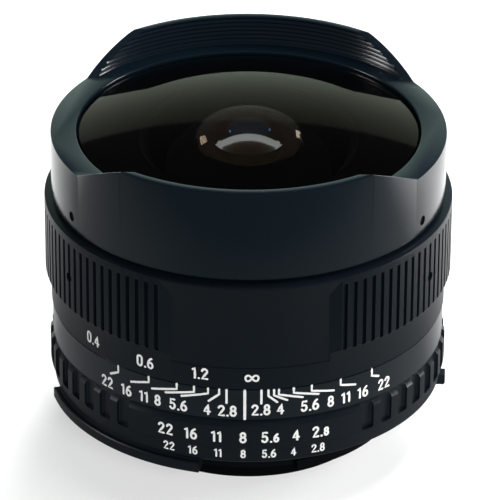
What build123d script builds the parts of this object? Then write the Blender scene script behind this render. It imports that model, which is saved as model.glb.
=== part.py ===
"""Fisheye lens with a two-petal hood, built for a 44 mm three-lug bayonet.

The optical axis is +Z and points out of the front glass. The origin lies on that axis in the
plane of the mount flange. The index of the engraved scales faces -Y. Lengths are millimetres,
angles are degrees, and an azimuth counts from -Y towards +X.
The lens is built as set to infinity and to the middle of its seven aperture stops.
"""
from build123d import *
from math import asin, atan, atan2, cos, degrees, hypot, pi, radians, sin, sqrt, tan
import os

# Clearances
run_gap = 0.05            # radial play of a running fit
seat_gap = 0.03           # radial play of a seated or screwed fit
seam_gap = 0.10           # axial play between two outside rings
free_gap = 0.30           # play round parts that must never touch
overrun = 2.0             # how far a cut passes the surface it opens

# Outside rings, from the flange forwards. Every other outer radius steps in from the grip
grip_radius = 31.5
grip_wall = 2.37
grip_height = 12.75
skirt_height = 5.25
skirt_step = 0.9
scale_ring_height = 5.3
scale_ring_step = 1.05
aperture_ring_height = 7.5
aperture_ring_step = 0.6
hood_step = 1.1
hood_height = 10.0
hood_gap = 0.6
petal_height = 4.8
rear_depth = 7.2
edge_break = 0.25

# Hood
hood_wall = 1.2
petal_wall = 1.3
petal_half_gap = 16.4
petal_slope_angle = 32.0
shoulder_thickness = 1.2
glare_step_count = 6
glare_step_depth = 0.24
glare_land = 0.2
glare_undercut = 0.12
glare_foot = 0.3
hood_screw_height = 2.2
hood_screw_radius = 0.75
hood_screw_length = 0.9
screw_azimuths = (-60.8, 60.8, 180.0)

# Grip
groove_count = 101
groove_width = 0.68
groove_depth = 0.75
grip_rim = 1.2
panel_azimuth = 1.65
panel_half_angle = 22.6
panel_side_angle = 2.9
panel_depth = 1.0
panel_lip = 0.45
panel_ramp = 2.7
grip_screw_height = 5.7
grip_screw_radius = 0.75

# Aperture ring
stop_count = 7
stop_angle = 7.5
stop_spare_angle = 1.5
finger_count = 42
finger_start_azimuth = 37.2
finger_width = 2.25
finger_depth = 0.6
finger_foot = 4.65
finger_corner = 0.35
upper_band = 4.75
top_bevel = 0.85
bevel_step = 0.7
ridge_step = 0.9
ridge_drop = 1.95
ridge_wall = 2.6
ridge_start_azimuth = -74.9
ridge_end_azimuth = -13.0
tab_start_azimuth = 84.6
tab_end_azimuth = 88.2

# Bayonet
lug_reach = 1.6
lug_thickness = 1.55
lug_angle = 56.0
lug_count = 3
lug_azimuth = 20.0
spigot_wall = 1.4
spigot_length = 4.6
flange_inset = 3.1
flange_face = 5.3
flange_thickness = 1.3
mount_screw_count = 4
mount_screw_azimuth = 45.0
mount_screw_radius = 0.8
mount_screw_head = 1.5
mount_screw_length = 3.4
countersink_angle = 90
lock_notch_width = 3.0
lock_notch_depth = 2.2
lock_notch_azimuth = 70.0
shield_wall = 1.1

# Fixed barrel
tube_wall = 2.3
guide_wall = 2.1
guide_floor = 0.55
scale_ring_wall = 1.52
bearing_length = 5.15
retainer_height = 1.2
retainer_step = 1.0
retainer_screw_radius = 0.6
retainer_screw_head = 1.0
retainer_screw_length = 3.0
retainer_screw_count = 4
scale_screw_radius = 0.6
scale_screw_azimuths = (110.0, 180.0, 250.0)
key_width = 3.0
key_depth = 1.5
ball_radius = 0.75
ball_azimuth = 150.0
ball_ring_inset = 1.9
notch_depth = 0.25
spring_wire = 0.12
spring_turns = 5
spring_length = 3.0

# Helicoid and moving barrel
focus_turn_angle = 76.2
helicoid_lead = 5.55
thread_wall = 2.5
guide_step = 1.65
barrel_wall = 1.7
barrel_rear_gap = 0.8
thread_foot_gap = 0.6
front_web = 2.05
ring_height = 1.15

# Front glass: step of its rim, radius of curvature, and how far its crown stands under the petals
cup_wall = 1.29
front_glass_step = 0.7
front_curve = 76.0
crown_drop = 0.65
front_centre = 2.3
front_hollow_play = 5.4
front_hollow_spare = 2.0

# Second glass: small dome, nearly a half ball, that stands in the hollow of the front glass
second_radius = 8.9
second_face_step = 2.15
second_face_spare = 0.15
second_shank = 4.45
second_ring_height = 1.0
second_hollow_rim = 3.0
second_hollow_spare = 0.1
second_rim = 1.2
second_ledge = 0.9
core_wall = 1.2
core_flange_inset = 3.2
core_flange = 2.0
core_lip = 0.8
core_seat = 0.6

# Cemented groups: radius or its step up, edge, and the curves of the front, joined and rear faces
glass_rim = 0.65
third_edge = 5.6
third_curves = (24.0, -16.0, -60.0)
fourth_radius = 7.2
fourth_edge = 4.4
fourth_curves = (18.0, -14.0, -30.0)
fifth_step = 0.6
fifth_edge = 4.8
fifth_curves = (-22.0, -16.0, -40.0)
sixth_step = 1.0
sixth_edge = 5.2
sixth_curves = (-40.0, -22.0, -32.0)
rear_step = 0.6
rear_edge = 2.3
rear_curves = (-30.0, -24.0)
cell_lip = 1.1
rear_cell_wall = 1.3
rear_flange_inset = 0.35
rear_flange = 1.2
filter_step = 1.2
filter_thickness = 1.5
filter_wall = 0.45
filter_ring_height = 2.5

# Iris
blade_count = 6
blade_thickness = 0.12
blade_pitch = 0.21
pivot_radius = 13.0
blade_hole = 7.0
open_hole = 6.6
closed_hole = 0.84
blade_width = 5.2
blade_sweep_angle = 118.0
ear_width = 1.2
ear_sweep_angle = 27.0
ear_back_angle = 5.0
cam_pin_angle = 22.0
pin_radius = 0.6
iris_plate = 1.4
iris_plate_hole = 7.4
iris_wall = 1.0
cam_ring_rim = 3.35
cam_ring_inset = 3.8
cam_ring_height = 1.3
iris_cover_height = 1.3
lever_width = 2.4
lever_wall = 1.2
lever_reach = 5.6
fork_wall = 1.2
fork_height = 2.2
fork_middle = 4.0
fork_foot_width = 10.0
fork_foot = 1.6

# Heights that the outside stack sets
aperture_bottom = flange_thickness + seam_gap + edge_break / 5
aperture_top = aperture_bottom + aperture_ring_height
scale_bottom = aperture_top + seam_gap
scale_top = scale_bottom + scale_ring_height
focus_bottom = scale_top + seam_gap
grip_bottom = focus_bottom + skirt_height
focus_top = grip_bottom + grip_height
hood_bottom = focus_top + hood_gap
shoulder = hood_bottom + hood_height
petal_top = shoulder + petal_height

# Radii that the nested sleeves set
skirt_radius = grip_radius - skirt_step
scale_ring_radius = grip_radius - scale_ring_step
aperture_radius = grip_radius - aperture_ring_step
foot_radius = aperture_radius - aperture_ring_step
hood_radius = grip_radius - hood_step
flange_radius = foot_radius - flange_inset
throat_radius = flange_radius - flange_face
lug_radius = throat_radius + lug_reach
collar_radius = scale_ring_radius - seat_gap - scale_ring_wall
helicoid_radius = grip_radius - grip_wall - seat_gap
helicoid_bore = helicoid_radius - thread_wall
thread_radius = helicoid_bore - run_gap
guide_radius = thread_radius - guide_step
front_barrel_radius = hood_radius - hood_wall - seat_gap
ring_bore_front = front_barrel_radius - cup_wall
cup_bore = ring_bore_front - ring_height
front_glass_radius = cup_bore - seat_gap - front_glass_step
petal_bore = hood_radius - petal_wall
tube_radius = flange_radius - lock_notch_depth + free_gap * 3
tube_bore = tube_radius - tube_wall
guide_bore = guide_radius + free_gap
bearing_radius = guide_bore + guide_wall
retainer_radius = bearing_radius + retainer_step
barrel_bore = guide_radius - barrel_wall
shield_radius = throat_radius - spigot_wall - seat_gap

# Radii that the glasses and the iris set
core_flange_radius = barrel_bore - core_flange_inset
second_face_radius = second_radius - second_face_step
second_curve = second_face_radius + second_face_spare
second_hollow_radius = second_radius - second_hollow_rim
second_hollow_curve = second_hollow_radius + second_hollow_spare
front_hollow_radius = second_radius + core_wall + front_hollow_play
third_radius = second_radius - second_ledge
front_hollow_curve = front_hollow_radius + front_hollow_spare
fifth_radius = fourth_radius + fifth_step
sixth_radius = fifth_radius + sixth_step
rear_radius = sixth_radius + rear_step
filter_radius = rear_radius + filter_step
cam_ring_radius = pivot_radius + cam_ring_rim
cam_ring_hole = pivot_radius - cam_ring_inset
rear_flange_radius = cam_ring_radius - rear_flange_inset

# Heights of the glass stack, from the crown of the front glass backwards


def sag(curve, radius):
    """Depth of a spherical face of the given curvature at a radius; signed like the curve."""
    bulge = abs(curve) - sqrt(curve ** 2 - radius ** 2)
    return bulge if curve > 0 else -bulge


def spot(radius, azimuth):
    """Plan position at a radius and an azimuth counted from -Y towards +X."""
    return radius * sin(radians(azimuth)), -radius * cos(radians(azimuth))


front_crown = petal_top - crown_drop
front_edge = front_crown - sag(front_curve, front_glass_radius)
hollow_crown = front_crown - front_centre
front_seat = hollow_crown - sag(front_hollow_curve, front_hollow_radius)
barrel_top = shoulder - shoulder_thickness - seat_gap
ring_seat = barrel_top - ring_height
web_top = front_seat
web_bottom = web_top - front_web
core_foot = web_bottom - core_flange
second_seat = core_foot
second_shelf = second_seat + second_rim
second_crown = second_shelf + second_shank + sag(second_curve, second_face_radius)
core_top = second_shelf + second_ring_height
third_front = core_foot - core_seat * 3
third_back = third_front - third_edge
core_bottom = third_back - core_lip
plate_bottom = core_bottom - iris_plate
cam_top = plate_bottom - (blade_count + 0.5) * blade_pitch
cam_bottom = cam_top - cam_ring_height
cover_top = cam_bottom - seam_gap
cover_bottom = cover_top - iris_cover_height
fourth_front = cover_bottom - cell_lip
fifth_front = fourth_front - fourth_edge
sixth_front = fifth_front - fifth_edge
rear_front = sixth_front - sixth_edge
rear_back = rear_front - rear_edge
rear_ring_back = rear_back - ring_height
filter_front = rear_ring_back - core_lip * 2
cell_back = filter_front - filter_ring_height
lever_back = -lever_reach
barrel_rear = scale_bottom + guide_floor + barrel_rear_gap
thread_foot = focus_bottom + bearing_length + retainer_height + thread_foot_gap
iris_wall_bore = cam_ring_radius + run_gap
iris_radius = iris_wall_bore + iris_wall
lever_inner = iris_radius + free_gap
lever_outer = lever_inner + lever_wall

# Turns and slides
stop_turn = stop_angle * (stop_count - 1) / 2
focus_travel = helicoid_lead * focus_turn_angle / 360


def turn(*outline, mode=Mode.ADD):
    """Turn a closed outline of (radius, height) points round the optical axis."""
    with BuildSketch(Plane.XZ, mode=Mode.PRIVATE) as half:
        with BuildLine():
            Polyline(*outline, close=True)
        make_face()
    revolve(half.sketch, axis=Axis.Z, mode=mode)


def sleeve(inner, outer, bottom, top, mode=Mode.ADD):
    """A plain tube."""
    turn((inner, bottom), (outer, bottom), (outer, top), (inner, top), mode=mode)


def sector(inner, outer, bottom, top, start, end, mode=Mode.ADD):
    """A slice of a tube from one azimuth to another."""
    with BuildSketch(Plane.XY.offset(bottom), mode=Mode.PRIVATE) as slice_plan:
        with BuildLine():
            CenterArc((0, 0), inner, start - 90, end - start)
            CenterArc((0, 0), outer, start - 90, end - start)
            Line(spot(inner, start), spot(outer, start))
            Line(spot(inner, end), spot(outer, end))
        make_face()
    extrude(slice_plan.sketch, amount=top - bottom, mode=mode)


def radial_plane(azimuth, height, radius=0):
    """A plane whose normal points outwards at the azimuth, standing at a height."""
    x, y = spot(1, azimuth)
    return Plane(origin=(x * radius, y * radius, height), x_dir=(-y, x, 0), z_dir=(x, y, 0))


def radial_rods(azimuths, height, rod_radius, inner, outer, mode=Mode.ADD):
    """Round rods that point outwards, one at each azimuth."""
    for azimuth in azimuths:
        with BuildSketch(radial_plane(azimuth, height, inner), mode=Mode.PRIVATE) as end:
            Circle(rod_radius)
        extrude(end.sketch, amount=outer - inner, mode=mode)


def glass(front, back, edge_radius, front_curve_of, back_curve_of):
    """A lens between two seat heights. A positive front bulges forwards, a negative back bulges back."""
    clear_radius = edge_radius - glass_rim
    mid_radius = clear_radius / 2
    crown = front + sag(front_curve_of, clear_radius)
    heel = back + sag(back_curve_of, clear_radius)
    with BuildSketch(Plane.XZ, mode=Mode.PRIVATE) as half:
        with BuildLine():
            Line((0, heel), (0, crown))
            ThreePointArc((0, crown), (mid_radius, crown - sag(front_curve_of, mid_radius)),
                          (clear_radius, front))
            Polyline((clear_radius, front), (edge_radius, front), (edge_radius, back),
                     (clear_radius, back))
            ThreePointArc((clear_radius, back), (mid_radius, heel - sag(back_curve_of, mid_radius)),
                          (0, heel))
        make_face()
    revolve(half.sketch, axis=Axis.Z)


def save(name, builder):
    """Label a finished piece and write it to its own file."""
    builder.part.label = name
    export_step(builder.part, f"parts/{name}.step")


os.makedirs("parts", exist_ok=True)

# Bayonet mount: flange plate, spigot and three lugs
with BuildPart() as bayonet_mount:
    spigot_bore = throat_radius - spigot_wall
    sleeve(spigot_bore, flange_radius, 0, flange_thickness)
    sleeve(spigot_bore, throat_radius, -spigot_length, 0)
    for lug in range(lug_count):
        lug_start = lug_azimuth + lug * 360 / lug_count
        sector(throat_radius - spigot_wall / 2, lug_radius, -spigot_length,
               lug_thickness - spigot_length, lug_start, lug_start + lug_angle)
    screw_circle = (tube_radius + tube_bore) / 2
    with Locations(Plane((0, 0, 0), x_dir=(1, 0, 0), z_dir=(0, 0, -1))):
        with PolarLocations(screw_circle, mount_screw_count, start_angle=mount_screw_azimuth):
            CounterSinkHole(mount_screw_radius + seat_gap, mount_screw_head + seat_gap,
                            depth=flange_thickness * 2, counter_sink_angle=countersink_angle)
    with BuildSketch(radial_plane(lock_notch_azimuth, 0, flange_radius - lock_notch_depth)):
        Rectangle(lock_notch_width, flange_thickness * 4)
    extrude(amount=lock_notch_depth + overrun, mode=Mode.SUBTRACT)
save("bayonet_mount", bayonet_mount)

# Countersunk screws that hold the mount to the fixed barrel
with BuildPart() as mount_screws:
    head_depth = (mount_screw_head - mount_screw_radius) / tan(radians(countersink_angle / 2))
    for screw in range(mount_screw_count):
        place = spot(screw_circle, mount_screw_azimuth + screw * 360 / mount_screw_count)
        with BuildSketch(Plane((*place, edge_break / 5))):
            Circle(mount_screw_head - edge_break / 5)
        with BuildSketch(Plane((*place, head_depth))):
            Circle(mount_screw_radius)
        loft()
        with BuildSketch(Plane((*place, head_depth))):
            Circle(mount_screw_radius)
        extrude(amount=flange_thickness + mount_screw_length - head_depth)
save("mount_screws", mount_screws)

# Rear shield tube that shades the last glass and the lever
with BuildPart() as rear_shield:
    turn((shield_radius - shield_wall, -rear_depth), (shield_radius - edge_break, -rear_depth),
         (shield_radius, edge_break - rear_depth), (shield_radius, flange_thickness),
         (shield_radius - shield_wall, flange_thickness))
save("rear_shield", rear_shield)

# Fixed barrel: rear tube under the aperture ring, collar under the depth scale, bearing rim
fork_half_width = lever_width / 2 + run_gap + fork_wall
window_half_angle = stop_turn + degrees(atan(fork_half_width / tube_bore)) + stop_spare_angle
fork_azimuth = 180.0
fork_bottom = fork_middle - fork_height / 2 + edge_break
fork_top = fork_bottom + fork_height
ball_circle = collar_radius - ball_ring_inset
bearing_top = focus_bottom + bearing_length - seam_gap
ball_middle = scale_bottom - seam_gap + ball_radius + seam_gap / 2
ball_hole_top = ball_middle + ball_radius + spring_length
with BuildPart() as fixed_barrel:
    turn((tube_bore, flange_thickness), (tube_radius, flange_thickness), (tube_radius, scale_bottom),
         (collar_radius, scale_bottom), (collar_radius, scale_top), (bearing_radius, scale_top),
         (bearing_radius, bearing_top), (guide_bore, bearing_top), (guide_bore, scale_bottom + guide_floor),
         (tube_bore, scale_bottom + guide_floor))
    sector(tube_bore - overrun, tube_radius + overrun, fork_bottom - free_gap, fork_top + free_gap,
           fork_azimuth - window_half_angle, fork_azimuth + window_half_angle, mode=Mode.SUBTRACT)
    with Locations(Plane((0, 0, flange_thickness), x_dir=(1, 0, 0), z_dir=(0, 0, -1))):
        with PolarLocations(screw_circle, mount_screw_count, start_angle=mount_screw_azimuth):
            Hole(mount_screw_radius + seat_gap, depth=mount_screw_length + free_gap)
    with BuildSketch(Plane((*spot(ball_circle, ball_azimuth), scale_bottom))):
        Circle(ball_radius + run_gap)
    extrude(amount=ball_hole_top - scale_bottom, mode=Mode.SUBTRACT)
    retainer_circle = (guide_bore + bearing_radius) / 2
    with Locations(Plane((0, 0, bearing_top))):
        with PolarLocations(retainer_circle, retainer_screw_count):
            Hole(retainer_screw_radius + seat_gap, depth=retainer_screw_length)
    radial_rods(scale_screw_azimuths, (scale_bottom + scale_top) / 2, scale_screw_radius + seat_gap,
                collar_radius - scale_screw_radius, collar_radius + overrun, mode=Mode.SUBTRACT)
save("fixed_barrel", fixed_barrel)

# Straight keys that stop the moving barrel from turning
with BuildPart() as guide_keys:
    key_bottom = barrel_rear + free_gap
    for side in (-1, 1):
        with BuildSketch(Plane.XY.offset(key_bottom)):
            Circle(guide_bore)
            Circle(guide_bore - key_depth, mode=Mode.SUBTRACT)
            with Locations((side * guide_bore, 0)):
                Rectangle(key_depth * 4, key_width, mode=Mode.INTERSECT)
        extrude(amount=bearing_top - key_bottom)
save("guide_keys", guide_keys)

# Ring that keeps the focus ring on its bearing, and its screws
with BuildPart() as focus_retainer:
    sleeve(guide_bore, retainer_radius, bearing_top, bearing_top + retainer_height)
    with Locations(Plane((0, 0, bearing_top + retainer_height))):
        with PolarLocations(retainer_circle, retainer_screw_count):
            CounterSinkHole(retainer_screw_radius + seat_gap, retainer_screw_head + seat_gap,
                            depth=retainer_height * 2, counter_sink_angle=countersink_angle)
save("focus_retainer", focus_retainer)

with BuildPart() as retainer_screws:
    retainer_top = bearing_top + retainer_height
    sink_depth = (retainer_screw_head - retainer_screw_radius) / tan(radians(countersink_angle / 2))
    for screw in range(retainer_screw_count):
        place = spot(retainer_circle, screw * 360 / retainer_screw_count)
        with BuildSketch(Plane((*place, retainer_top - sink_depth))):
            Circle(retainer_screw_radius)
        with BuildSketch(Plane((*place, retainer_top - edge_break / 5))):
            Circle(retainer_screw_head - edge_break / 5)
        loft()
        with BuildSketch(Plane((*place, bearing_top - retainer_screw_length + free_gap))):
            Circle(retainer_screw_radius)
        extrude(amount=retainer_height + retainer_screw_length - free_gap - sink_depth)
save("retainer_screws", retainer_screws)

# Depth-of-field scale ring and its grub screws
scale_screw_height = (scale_bottom + scale_top) / 2
with BuildPart() as depth_scale_ring:
    scale_bore = collar_radius + seat_gap
    turn((scale_bore, scale_bottom), (scale_ring_radius - edge_break / 2, scale_bottom),
         (scale_ring_radius, scale_bottom + edge_break / 2), (scale_ring_radius, scale_top - edge_break / 2),
         (scale_ring_radius - edge_break / 2, scale_top), (scale_bore, scale_top))
    radial_rods(scale_screw_azimuths, scale_screw_height, scale_screw_radius + seat_gap,
                collar_radius - overrun, grip_radius, mode=Mode.SUBTRACT)
save("depth_scale_ring", depth_scale_ring)

with BuildPart() as scale_screws:
    radial_rods(scale_screw_azimuths, scale_screw_height, scale_screw_radius,
                collar_radius - scale_screw_radius + seat_gap, scale_ring_radius - edge_break)
save("scale_screws", scale_screws)

# Click ball and its spring, over the notches of the aperture ring
with BuildPart() as click_ball:
    with Locations((*spot(ball_circle, ball_azimuth), ball_middle)):
        Sphere(ball_radius)
save("click_ball", click_ball)

with BuildPart() as click_spring:
    coil_radius = ball_radius - spring_wire * 1.5
    spring_bottom = ball_middle + ball_radius
    coil_height = spring_length - 4 * spring_wire
    spring_place = (*spot(ball_circle, ball_azimuth), spring_bottom + 2 * spring_wire)
    with BuildLine(Plane(spring_place)):
        Helix(coil_height / spring_turns, coil_height, coil_radius)
    with BuildSketch(Plane((spring_place[0] + coil_radius, spring_place[1], spring_place[2]),
                           x_dir=(1, 0, 0), z_dir=(0, 1, 0))):
        RegularPolygon(spring_wire, 6)
    sweep(is_frenet=True)
save("click_spring", click_spring)

# Focus ring: ribbed grip with a plain panel in front, and a skirt with the distance scale
with BuildPart() as focus_ring:
    bearing_bore = bearing_radius + run_gap
    focus_bore = helicoid_radius + seat_gap
    turn((bearing_bore, focus_bottom), (skirt_radius - edge_break / 2, focus_bottom),
         (skirt_radius, focus_bottom + edge_break / 2), (skirt_radius, grip_bottom),
         (grip_radius, grip_bottom), (grip_radius, focus_top - edge_break / 2),
         (grip_radius - edge_break / 2, focus_top), (focus_bore, focus_top),
         (focus_bore, bearing_top - seam_gap), (bearing_bore, bearing_top - seam_gap))
    panel_radius = grip_radius - panel_depth
    side_spread = panel_side_angle * (panel_depth + overrun) / panel_depth
    with BuildSketch(Plane.XY.offset(grip_bottom), mode=Mode.PRIVATE) as panel_plan:
        left = panel_azimuth - panel_half_angle
        right = panel_azimuth + panel_half_angle
        outer = grip_radius + overrun
        with BuildLine():
            CenterArc((0, 0), panel_radius, left - 90, right - left)
            Line(spot(panel_radius, left), spot(outer, left - side_spread))
            Line(spot(panel_radius, right), spot(outer, right + side_spread))
            CenterArc((0, 0), outer, left - side_spread - 90, right - left + 2 * side_spread)
        make_face()
    with BuildPart(mode=Mode.PRIVATE) as panel_cut:
        extrude(panel_plan.sketch, amount=grip_height)
        panel_top = focus_top - panel_lip
        turn((panel_radius, grip_bottom), (panel_radius, panel_top - panel_ramp),
             (panel_radius + panel_depth, panel_top), (grip_radius + 2 * overrun, panel_top),
             (grip_radius + 2 * overrun, grip_bottom), mode=Mode.INTERSECT)
    add(panel_cut.part, mode=Mode.SUBTRACT)
    groove_edge = panel_half_angle + panel_side_angle + degrees(groove_width / grip_radius)
    groove_pitch = (360 - 2 * groove_edge) / (groove_count - 1)
    with BuildSketch(Plane.XY.offset(grip_bottom)):
        for groove in range(groove_count):
            direction = panel_azimuth + groove_edge + groove * groove_pitch
            with Locations(Location(spot(grip_radius, direction), direction)):
                Rectangle(groove_width, 2 * groove_depth)
    extrude(amount=grip_height - grip_rim, mode=Mode.SUBTRACT)
    radial_rods([panel_azimuth + azimuth for azimuth in screw_azimuths], grip_bottom + grip_screw_height,
                grip_screw_radius + seat_gap, helicoid_radius - overrun, grip_radius + overrun,
                mode=Mode.SUBTRACT)
save("focus_ring", focus_ring)

# Helicoid sleeve inside the grip, and the grub screws that lock it there
with BuildPart() as focus_helicoid:
    helicoid_bottom = bearing_top + retainer_height + free_gap
    turn((helicoid_bore, helicoid_bottom), (helicoid_radius, helicoid_bottom),
         (helicoid_radius, focus_top - ring_height), (helicoid_bore, focus_top - ring_height))
    radial_rods([panel_azimuth + azimuth for azimuth in screw_azimuths], grip_bottom + grip_screw_height,
                grip_screw_radius + seat_gap, helicoid_radius - thread_wall / 2,
                grip_radius + overrun, mode=Mode.SUBTRACT)
save("focus_helicoid", focus_helicoid)

with BuildPart() as grip_screws:
    radial_rods([panel_azimuth + azimuth for azimuth in screw_azimuths], grip_bottom + grip_screw_height,
                grip_screw_radius, helicoid_radius - thread_wall / 2 + seat_gap,
                grip_radius - groove_depth - edge_break)
save("grip_screws", grip_screws)

# Aperture ring: bevelled top, finger ribs cut round the back and sides, and the coupling ridge
with BuildPart() as aperture_ring:
    ring_bore = tube_radius + run_gap
    band_bottom = aperture_top - upper_band
    turn((ring_bore, aperture_bottom), (foot_radius - edge_break, aperture_bottom),
         (foot_radius, aperture_bottom + edge_break), (foot_radius, band_bottom - edge_break),
         (aperture_radius, band_bottom), (aperture_radius, aperture_top - top_bevel),
         (aperture_radius - bevel_step, aperture_top), (ring_bore, aperture_top))
    for start, end in ((ridge_start_azimuth, ridge_end_azimuth), (tab_start_azimuth, tab_end_azimuth)):
        sector(foot_radius + ridge_step - ridge_wall, foot_radius + ridge_step,
               aperture_bottom - ridge_drop, aperture_bottom - edge_break / 2, start, end)
        sector(foot_radius + ridge_step - ridge_wall, foot_radius - edge_break,
               aperture_bottom - ridge_drop, aperture_bottom + edge_break / 2, start, end)
    finger_pitch = (360 - 2 * finger_start_azimuth) / (finger_count - 1)
    finger_bottom = aperture_top - finger_foot
    finger_height = finger_foot + overrun
    for finger in range(finger_count):
        direction = finger_start_azimuth + finger * finger_pitch
        with BuildSketch(radial_plane(direction, finger_bottom + finger_height / 2,
                                      aperture_radius - finger_depth)):
            RectangleRounded(finger_width, finger_height, finger_corner)
    extrude(amount=finger_depth + overrun, mode=Mode.SUBTRACT)
    for stop in range(stop_count):
        direction = ball_azimuth + (stop - (stop_count - 1) / 2) * stop_angle
        with Locations((*spot(ball_circle, direction), aperture_top + ball_radius - notch_depth)):
            Sphere(ball_radius, mode=Mode.SUBTRACT)
    foot_side = degrees(atan(fork_foot_width / 2 / ring_bore))
    sector(ring_bore - overrun, ring_bore + fork_foot + seat_gap, fork_bottom - seat_gap,
           fork_top + seat_gap, fork_azimuth - foot_side, fork_azimuth + foot_side, mode=Mode.SUBTRACT)
save("aperture_ring", aperture_ring)

# Fork on the aperture ring that reaches in and carries the iris lever round with it
with BuildPart() as drive_fork:
    foot_inner = tube_radius + run_gap
    sector(foot_inner, foot_inner + fork_foot, fork_bottom, fork_top,
           fork_azimuth - foot_side + edge_break, fork_azimuth + foot_side - edge_break)
    fork_tip = lever_inner - edge_break
    with BuildSketch(Plane.XY.offset(fork_bottom)):
        with Locations((0, (fork_tip + foot_inner + fork_foot / 2) / 2)):
            Rectangle(2 * fork_half_width, foot_inner + fork_foot / 2 - fork_tip)
        with Locations((0, (fork_tip + lever_outer + run_gap) / 2)):
            Rectangle(lever_width + 2 * run_gap, lever_outer + run_gap - fork_tip, mode=Mode.SUBTRACT)
    extrude(amount=fork_height)
save("drive_fork", drive_fork)

# Moving barrel: rear guide with key slots, thread, and the cup that holds the front glass
with BuildPart() as moving_barrel:
    core_bore = second_radius + core_wall + seat_gap
    turn((barrel_bore, barrel_rear), (guide_radius, barrel_rear), (guide_radius, thread_foot),
         (thread_radius, thread_foot), (thread_radius, hood_bottom + edge_break),
         (front_barrel_radius, hood_bottom + edge_break), (front_barrel_radius, barrel_top),
         (ring_bore_front, barrel_top), (ring_bore_front, ring_seat), (cup_bore, ring_seat),
         (cup_bore, web_top), (core_bore, web_top), (core_bore, web_bottom), (barrel_bore, web_bottom))
    for side in (-1, 1):
        with BuildSketch(Plane.XY.offset(barrel_rear)):
            with Locations((side * guide_radius, 0)):
                Rectangle(4 * key_depth, key_width + 2 * run_gap)
        extrude(amount=thread_foot - barrel_rear - edge_break, mode=Mode.SUBTRACT)
save("moving_barrel", moving_barrel)

# Hood: shoulder ring with a petal above and below the picture, ribbed inside against glare
with BuildPart() as hood:
    hood_bore = front_barrel_radius + seat_gap
    shoulder_bore = front_glass_radius + front_glass_step / 2 + seat_gap * 2
    rib_height = (petal_height - glare_foot * 2) / glare_step_count
    ribs = []
    for rib in range(glare_step_count):
        rib_foot = shoulder + glare_foot + rib * rib_height
        ribs.append((petal_bore, rib_foot))
        ribs.append((petal_bore, rib_foot + glare_land))
        ribs.append((petal_bore + glare_step_depth, rib_foot + rib_height - glare_undercut))
    ribs.append((petal_bore, petal_top - glare_foot))
    turn((hood_bore, hood_bottom), (hood_radius - edge_break, hood_bottom),
         (hood_radius, hood_bottom + edge_break), (hood_radius, petal_top - edge_break / 2),
         (hood_radius - edge_break / 2, petal_top), (petal_bore, petal_top), *reversed(ribs),
         (petal_bore, shoulder), (shoulder_bore, shoulder), (shoulder_bore, shoulder - shoulder_thickness),
         (hood_bore, shoulder - shoulder_thickness))
    cut_rise = petal_height + overrun
    cut_run = cut_rise / tan(radians(petal_slope_angle))
    with BuildSketch(Plane.YZ):
        with BuildLine():
            Polyline((-petal_half_gap, shoulder), (petal_half_gap, shoulder),
                     (petal_half_gap + cut_run, shoulder + cut_rise),
                     (-petal_half_gap - cut_run, shoulder + cut_rise), close=True)
        make_face()
    extrude(amount=hood_radius + overrun, both=True, mode=Mode.SUBTRACT)
    radial_rods(screw_azimuths, hood_bottom + hood_screw_height, hood_screw_radius + seat_gap,
                front_barrel_radius - overrun, hood_radius + overrun, mode=Mode.SUBTRACT)
save("hood", hood)

with BuildPart() as hood_screws:
    radial_rods(screw_azimuths, hood_bottom + hood_screw_height, hood_screw_radius,
                front_barrel_radius + seat_gap, front_barrel_radius + seat_gap + hood_screw_length)
save("hood_screws", hood_screws)

# Threaded ring that holds the front glass, with two spanner notches
with BuildPart() as front_ring:
    sleeve(front_glass_radius + seat_gap, ring_bore_front - seat_gap, ring_seat, barrel_top)
    for side in (-1, 1):
        with BuildSketch(Plane.XY.offset(barrel_top - ring_height / 2)):
            with Locations((side * ring_bore_front, 0)):
                Rectangle(2 * ring_height, ring_height)
        extrude(amount=ring_height, mode=Mode.SUBTRACT)
save("front_ring", front_ring)

# Front glass: deep negative meniscus with a stepped rim
with BuildPart() as front_glass:
    step_radius = front_glass_radius + front_glass_step
    dome_middle = front_glass_radius / 2
    hollow_middle = front_hollow_radius / 2
    with BuildSketch(Plane.XZ):
        with BuildLine():
            Line((0, hollow_crown), (0, front_crown))
            ThreePointArc((0, front_crown), (dome_middle, front_crown - sag(front_curve, dome_middle)),
                          (front_glass_radius, front_edge))
            Polyline((front_glass_radius, front_edge), (front_glass_radius, ring_seat),
                     (step_radius, ring_seat), (step_radius, front_seat), (front_hollow_radius, front_seat))
            ThreePointArc((front_hollow_radius, front_seat),
                          (hollow_middle, hollow_crown - sag(front_hollow_curve, hollow_middle)),
                          (0, hollow_crown))
        make_face()
    revolve(axis=Axis.Z)
save("front_glass", front_glass)

# Lens core: tube that carries the second glass and the third group under the front glass
with BuildPart() as lens_core:
    core_radius = second_radius + core_wall
    second_bore = second_radius + seat_gap
    third_bore = third_radius + seat_gap
    turn((third_radius - core_seat, core_bottom), (core_radius, core_bottom), (core_radius, core_foot),
         (core_flange_radius, core_foot), (core_flange_radius, web_bottom), (core_radius, web_bottom),
         (core_radius, core_top), (second_bore + core_wall / 3, core_top),
         (second_bore + core_wall / 3, second_shelf), (second_bore, second_shelf),
         (second_bore, second_seat), (third_bore, second_seat), (third_bore, third_back),
         (third_radius - core_seat, third_back))
save("lens_core", lens_core)

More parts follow.
